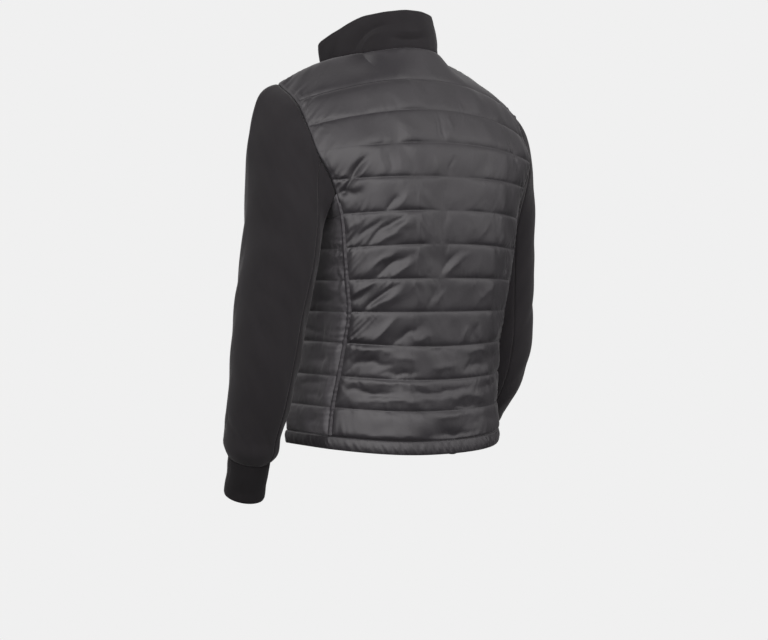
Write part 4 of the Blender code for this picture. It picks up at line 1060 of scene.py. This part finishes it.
SIDE_FOLDS = {
    "left": (
        (-88, 4.75, -30, 4.85, 0, 4, 2.9), (-88, 5.12, -40, 5.22, 0, 4, 2.5),
        (-86, 5.45, -40, 5.60, -1, 5, 2.6), (-86, 6.30, -50, 6.20, 2, 5, 2.9),
        (-86, 6.45, -40, 6.62, 0, 4, -2.9), (-84, 6.72, -40, 6.80, 0, 5, 2.3),
        (-84, 7.35, -45, 7.25, 2, 5, 2.6), (-82, 7.55, -30, 7.65, 0, 5, -2.6),
        (60, 5.30, 90, 5.20, 0, 5, 2.3), (55, 6.20, 88, 6.30, 0, 5, -2.3),
        (-40, 8.70, 40, 8.60, 2, 8, -2.1), (30, 10.30, -60, 10.25, 1, 8, -2.3),
        (-54, 7.20, -56, 11.9, 0, 20, 4.0), (-22, 7.10, -24, 11.9, 0, 18, -3.2),
        (-48, 7.62, 0, 7.70, 0, 6, -2.6), (-50, 9.45, 0, 9.60, 1, 7, -2.8),
        (-44, 10.70, 0, 10.60, 0, 7, -2.4), (-46, 11.4, 0, 11.6, 1, 7, -2.2),
    ),
    "right": (
        (-88, 4.80, -34, 4.90, 0, 4, 2.6), (-88, 5.20, -44, 5.26, 0, 4, 2.3),
        (-86, 5.55, -40, 5.66, -1, 5, 2.3), (-86, 6.25, -50, 6.15, 2, 5, 2.6),
        (-84, 6.55, -40, 6.66, 0, 4, -2.6), (-84, 7.30, -45, 7.22, 2, 5, 2.5),
        (60, 5.35, 90, 5.25, 0, 5, 2.2), (-40, 8.65, 40, 8.60, 2, 8, -2.0),
        (30, 10.32, -60, 10.25, 1, 8, -2.3),
        (-56, 7.40, -54, 11.8, 0, 19, 3.6), (-26, 7.30, -22, 11.8, 0, 17, -3.0),
        (-46, 8.40, 0, 8.50, 0, 6, -2.4), (-48, 9.60, 0, 9.45, 1, 7, -2.6),
        (-42, 11.3, 0, 11.4, 0, 7, -2.3),
    ),
}
# Sleeve and collar folds are in mm both ways, across from the middle and down from the top;
# the collar's top is its seam with the body.
SLEEVE_FOLDS = {
    ("top", "left"): (
        (98, 300, 20, 345, 6, 11, -1.6), (92, 345, 30, 372, 4, 10, 1.3),
        (-96, 330, -30, 350, -5, 12, -1.5), (70, 545, 0, 566, 4, 9, -1.4),
        (40, 585, -50, 600, 4, 8, -1.5), (-20, 560, -70, 585, 2, 9, 1.1),
    ),
    ("top", "right"): (
        (-96, 290, -20, 330, -6, 11, -2.0), (-90, 335, -30, 360, -4, 10, 1.5),
        (96, 320, 30, 342, 5, 12, -1.8), (-60, 520, 0, 545, -4, 9, -1.6),
        (60, 560, -20, 580, 4, 9, 1.3),
    ),
    ("under", "left"): (
        (-30, 40, 30, 70, 3, 9, -1.8), (-30, 190, 30, 205, 3, 10, -2.0),
        (-32, 225, 28, 236, 3, 9, 1.5), (-30, 262, 30, 268, 3, 9, -1.8),
        (-28, 430, 30, 440, 3, 9, -1.5),
    ),
    ("under", "right"): (
        (30, 40, -30, 70, -3, 9, -1.8), (30, 180, -30, 198, -3, 10, -2.2),
        (32, 215, -28, 230, -3, 9, 1.6), (30, 250, -30, 262, -3, 9, -2.2),
        (28, 410, -30, 424, -3, 9, -1.6),
    ),
}
COLLAR_FOLDS = (
    (118, 12, 52, 44, -11, 6, -4.2), (106, 4, 62, 32, -8, 7, 2.8),
    (50, 22, -18, 23, 6, 5, -3.8), (44, 33, -14, 35, 5, 7, 2.4),
    (178, 8, 150, 40, 0, 11, -1.6), (-60, 14, -120, 36, 9, 9, -1.4),
    (-150, 10, -176, 36, 0, 10, -1.4),
)


# ---- finishes -------------------------------------------------------------------------
def linear(hex_colour):
    """sRGB hex to a linear colour."""
    parts = [int(hex_colour[i:i + 2], 16) / 255 for i in (1, 3, 5)]
    return tuple(c / 12.92 if c <= 0.04045 else ((c + 0.055) / 1.055) ** 2.4 for c in parts) + (1.0,)


def add(tree, kind, inputs=None, **settings):
    """One shader node with its settings; an input is a value or another node's output."""
    made = tree.nodes.new(kind)
    for name, value in settings.items():
        setattr(made, name, value)
    for name, value in (inputs or {}).items():
        if isinstance(value, bpy.types.NodeSocket):
            tree.links.new(value, made.inputs[name])
        else:
            made.inputs[name].default_value = value
    return made


def start_finish(name, **values):
    material = bpy.data.materials.new(name)
    material.use_nodes = True
    tree = material.node_tree
    surface = tree.nodes["Principled BSDF"]
    for key, value in values.items():
        surface.inputs[key.replace("_", " ")].default_value = value
    return material, tree, surface


def on_cloth(tree):
    """Places on the flat cut cloth, in metres."""
    return add(tree, "ShaderNodeUVMap", uv_map="cloth").outputs["UV"]


def on_piece(tree):
    return add(tree, "ShaderNodeTexCoord").outputs["Object"]


def noise(tree, place, scale, detail=2.0):
    inputs = {"Vector": place, "Scale": scale, "Detail": detail}
    return add(tree, "ShaderNodeTexNoise", inputs).outputs["Fac"]


WAVE_SPACING = math.pi / 10         # how far apart a wave texture's waves are at scale 1


def bands(tree, place, spacing_mm, direction, **inputs):
    """Waves that are this far apart."""
    scale = WAVE_SPACING / (spacing_mm * MM)
    wave = add(tree, "ShaderNodeTexWave", {"Vector": place, "Scale": scale, **inputs},
               bands_direction=direction)
    return wave.outputs["Fac"]


def remap(tree, value, from_low, from_high, to_low, to_high):
    return add(tree, "ShaderNodeMapRange", {
        "Value": value, "From Min": from_low, "From Max": from_high,
        "To Min": to_low, "To Max": to_high,
    }).outputs[0]


def product(tree, one, other):
    return add(tree, "ShaderNodeMath", {0: one, 1: other}, operation="MULTIPLY").outputs[0]


def bump(tree, surface, height, depth_mm):
    """Raises a surface by this depth, over what raises it already."""
    inputs = {"Height": height, "Distance": depth_mm * MM, "Strength": 1.0}
    normal = surface.inputs["Normal"]
    if normal.is_linked:
        inputs["Normal"] = normal.links[0].from_socket
    tree.links.new(add(tree, "ShaderNodeBump", inputs).outputs["Normal"], normal)


def colour(tree, surface, amount, low, high):
    """A base colour that wanders between two hex colours."""
    inputs = {"Factor": amount, "A": linear(low), "B": linear(high)}
    mixed = add(tree, "ShaderNodeMix", inputs, data_type="RGBA")
    tree.links.new(mixed.outputs["Result"], surface.inputs["Base Color"])


def quilted_nylon(name, roughness, dark, light):
    """Black plain-weave nylon shell, pressed flat between hot rollers, which gives it a
    satin sheen that breaks up over fine crinkles."""
    material, tree, surface = start_finish(
        name, Roughness=roughness, IOR=1.53, Sheen_Weight=0.16, Sheen_Roughness=0.35,
    )
    cloth = on_cloth(tree)
    cloudy = noise(tree, cloth, 22.0, 3.0)
    colour(tree, surface, cloudy, dark, light)
    dull = remap(tree, cloudy, 0.3, 0.7, roughness - 0.04, roughness + 0.04)
    tree.links.new(dull, surface.inputs["Roughness"])
    crinkle = add(tree, "ShaderNodeTexNoise", {
        "Vector": cloth, "Scale": 48.0, "Detail": 3.0, "Roughness": 0.5, "Distortion": 0.5,
    }, noise_type="RIDGED_MULTIFRACTAL")
    bump(tree, surface, crinkle.outputs["Fac"], 0.35)
    # the yarns lie 0.15 mm apart; drawn 1 mm apart so that they show
    weave = product(tree, bands(tree, cloth, 1.0, "X"), bands(tree, cloth, 1.0, "Y"))
    bump(tree, surface, weave, 0.012)
    return material


def folded_nylon():
    """Strip of the same nylon, folded lengthways and pressed by the sewing, so duller."""
    material, tree, surface = start_finish(
        "pressed_nylon_strip", Roughness=0.55, IOR=1.53, Specular_IOR_Level=0.45,
    )
    cloth = on_cloth(tree)
    colour(tree, surface, noise(tree, cloth, 40.0, 3.0), "#323033", "#3e3c3f")
    bump(tree, surface, noise(tree, cloth, 220.0), 0.3)
    return material


def softshell_cloth():
    """Black polyester softshell with a brushed, close-knit face: quite matt, with a short
    nap that catches light at the edges."""
    return brushed_knit(
        "brushed_polyester_softshell", 0.92, 0.12, 0.25, "#1e1c1e", "#272527", 1.4, 0.05
    )


def cuff_cloth():
    """The same knit doubled over for the cuffs, a little denser and darker."""
    return brushed_knit("doubled_knit_cuff", 0.95, 0.08, 0.22, "#151415", "#1c1a1c", 1.8, 0.08)


def brushed_knit(name, roughness, sheen, gloss, dark, light, wale_mm, depth_mm):
    """Fine wales and short fibres; real wales are 0.7 mm apart, drawn wider so they show."""
    material, tree, surface = start_finish(
        name, Roughness=roughness, IOR=1.5,
        Sheen_Weight=sheen, Sheen_Roughness=0.45, Specular_IOR_Level=gloss,
    )
    cloth = on_cloth(tree)
    colour(tree, surface, noise(tree, cloth, 30.0, 4.0), dark, light)
    bump(tree, surface, bands(tree, cloth, wale_mm, "X", Distortion=0.4, Detail=1.0), depth_mm)
    bump(tree, surface, noise(tree, cloth, 900.0), depth_mm)
    return material


def sewing_thread():
    """Black core-spun polyester thread: twisted fibres, which leave it a dull lustre."""
    material, tree, surface = start_finish("core_spun_polyester_thread", Roughness=0.62, IOR=1.5)
    colour(tree, surface, noise(tree, on_piece(tree), 1500.0, 1.0), "#111012", "#1d1c1e")
    return material


def tape_weave():
    """Black polyester zip tape, woven in a close herringbone, which leaves it matt and ribbed."""
    material, tree, surface = start_finish(
        "herringbone_polyester_tape", Roughness=0.8, IOR=1.5, Sheen_Weight=0.1,
    )
    cloth = on_cloth(tree)
    colour(tree, surface, noise(tree, cloth, 600.0), "#121213", "#1d1c1f")
    # ribs 0.5 mm apart, drawn 0.9 mm apart
    bump(tree, surface, bands(tree, cloth, 0.9, "DIAGONAL", Distortion=0.3), 0.06)
    return material


def tooth_plastic():
    """Black acetal, injection moulded: smooth with a low gloss and a faint flow mottle."""
    material, tree, surface = start_finish("moulded_acetal", Roughness=0.34, IOR=1.48)
    flow = noise(tree, on_piece(tree), 700.0)
    colour(tree, surface, flow, "#0f0f10", "#1a191b")
    bump(tree, surface, flow, 0.02)
    return material


def painted_zinc():
    """Die-cast zinc, painted satin black and rubbed through to grey on its outer edges."""
    material, tree, surface = start_finish("satin_painted_zinc", Roughness=0.38)
    speck = noise(tree, on_piece(tree), 1800.0, 3.0)
    edge = add(tree, "ShaderNodeNewGeometry").outputs["Pointiness"]
    worn = product(tree, remap(tree, edge, 0.53, 0.62, 0.0, 0.6), speck)
    colour(tree, surface, worn, "#161617", "#77767a")
    tree.links.new(worn, surface.inputs["Metallic"])
    bump(tree, surface, speck, 0.01)
    return material


# ---- studio ---------------------------------------------------------------------------
PAPER = "#f0f0f0"
LAMP_LIGHT = "#f1eeef"
FLOOR_LEVEL = -1.10
FLOOR_REACH = 60.0
# height on a globe round the jacket, light from there
ROOM_LIGHT = ((-0.30, 0.02), (0.10, 0.25), (0.40, 1.25), (0.82, 1.15), (0.94, 0.35), (1.0, 0.05))
# the room's far side, past the wearer's right arm: its way, its light over the rest of the
# room's, and where on the way the light starts and ends its fall
DIM_SIDE = (-0.85, -0.52, 0.0)
DIM_SIDE_LIGHT = 0.25
DIM_FROM, DIM_TO = 0.15, 0.75
CAMERA_TURN = 36.0
CAMERA_DISTANCE = 3.0
EYE_LEVEL = -0.383
LENS, FILM_WIDTH = 81.0, 36.0
PICTURE_WIDTH = 768
PICTURE_SHIFT = (-13, -43)      # pixels
# name, turn from the camera to its right, height and distance of its middle, width, depth,
# power, and whether the cloth mirrors it
LAMPS = (
    ("broad_lamp", 8, 0.50, 2.4, 5.0, 2.4, 87, True),
    ("right_lamp", 84, 0.40, 2.4, 1.6, 2.0, 11, True),
    ("left_lamp", -75, 0.30, 2.4, 1.8, 2.4, 6.4, True),
    ("front_lamp", 192, 0.5, 2.8, 2.4, 1.6, 88, False),
)


def make_room():
    """A pale room lit from above: its light falls off below eye level, overhead and towards
    its dim side.  The lens sees a plain wall in its place."""
    world = bpy.data.worlds.new("studio")
    world.use_nodes = True
    tree = world.node_tree
    way = add(tree, "ShaderNodeTexCoord").outputs["Generated"]
    parts = add(tree, "ShaderNodeSeparateXYZ", {0: way})
    light = add(tree, "ShaderNodeValToRGB", {"Fac": remap(tree, parts.outputs["Z"], -1, 1, 0, 1)})
    light.color_ramp.elements.remove(light.color_ramp.elements[1])
    for z, strength in ROOM_LIGHT:
        stop = light.color_ramp.elements.new((z + 1) / 2)
        stop.color = (strength, strength, strength, 1.0)
    towards = add(tree, "ShaderNodeVectorMath", {0: way, 1: DIM_SIDE}, operation="DOT_PRODUCT")
    dimmed = remap(tree, towards.outputs["Value"], DIM_FROM, DIM_TO, 1, DIM_SIDE_LIGHT)
    room = tree.nodes["Background"]
    room.inputs["Color"].default_value = linear(LAMP_LIGHT)
    tree.links.new(product(tree, light.outputs[0], dimmed), room.inputs["Strength"])
    wall = add(tree, "ShaderNodeBackground", {"Color": linear(PAPER), "Strength": 1.0})
    seen = add(tree, "ShaderNodeLightPath").outputs["Is Camera Ray"]
    both = add(tree, "ShaderNodeMixShader", {0: seen, 1: room.outputs[0], 2: wall.outputs[0]})
    tree.links.new(both.outputs[0], tree.nodes["World Output"].inputs["Surface"])
    bpy.context.scene.world = world
    bpy.context.scene.view_settings.view_transform = "Standard"


def floor_paper():
    """White paper lit so evenly that it melts into the wall."""
    material, tree, _ = start_finish("floor_paper")
    glow = add(tree, "ShaderNodeEmission", {"Color": linear(PAPER), "Strength": 1.0})
    tree.links.new(glow.outputs[0], tree.nodes["Material Output"].inputs["Surface"])
    return material


def make_floor():
    mesh = bpy.data.meshes.new("floor")
    corners = [(-1, -1), (1, -1), (1, 1), (-1, 1)]
    points = [(x * FLOOR_REACH, y * FLOOR_REACH, FLOOR_LEVEL) for x, y in corners]
    mesh.from_pydata(points, [], [(0, 1, 2, 3)])
    floor = link("floor", mesh, floor_paper())
    floor.visible_diffuse = floor.visible_glossy = False


def stand(thing, turn, distance, level):
    """Stands a camera or lamp beside the jacket, turned to the jacket's middle."""
    angle = math.radians(turn)
    thing.location = (distance * math.sin(angle), distance * math.cos(angle), level)
    way = Vector((0, 0, EYE_LEVEL)) - thing.location
    thing.rotation_euler = way.to_track_quat("-Z", "Y").to_euler()
    bpy.context.scene.collection.objects.link(thing)


def soft_box(name, turn, rise, away, width, depth, power, mirrored_by_cloth):
    """A soft rectangular lamp that faces the jacket."""
    data = bpy.data.lights.new(name, "AREA")
    data.shape, data.size, data.size_y, data.energy = "RECTANGLE", width, depth, power
    data.color = linear(LAMP_LIGHT)[:3]
    light = bpy.data.objects.new(name, data)
    light.visible_camera, light.visible_glossy = False, mirrored_by_cloth
    stand(light, CAMERA_TURN - turn, away, EYE_LEVEL + rise)


def make_camera():
    """81 mm lens, level, from behind the wearer's left shoulder."""
    data = bpy.data.cameras.new("camera")
    data.lens, data.sensor_width = LENS, FILM_WIDTH
    data.shift_x, data.shift_y = [pixels / PICTURE_WIDTH for pixels in PICTURE_SHIFT]
    camera = bpy.data.objects.new("camera", data)
    stand(camera, CAMERA_TURN, CAMERA_DISTANCE, EYE_LEVEL)
    bpy.context.scene.camera = camera


def main():
    make_camera()
    make_room()
    make_floor()
    for lamp in LAMPS:
        soft_box(*lamp)
    nylon = quilted_nylon("calendered_nylon_shell", 0.42, "#262527", "#323033")
    # painted light: the side panels get the same nylon in a lighter colour, to lift them where the
    # sleeves shade them from the lamps
    side_nylon_painted_light = quilted_nylon("calendered_nylon_shell_painted_lighter_under_the_arms", 0.52, "#464547", "#535154")
    softshell, knit, thread = softshell_cloth(), cuff_cloth(), sewing_thread()
    make_torso(nylon, side_nylon_painted_light, thread)
    make_hem(nylon, thread)
    make_straps(folded_nylon(), thread)
    make_sleeves(softshell, knit)
    make_collar(softshell, thread)
    make_zip(tape_weave(), tooth_plastic(), thread)
    make_hardware(painted_zinc())


main()
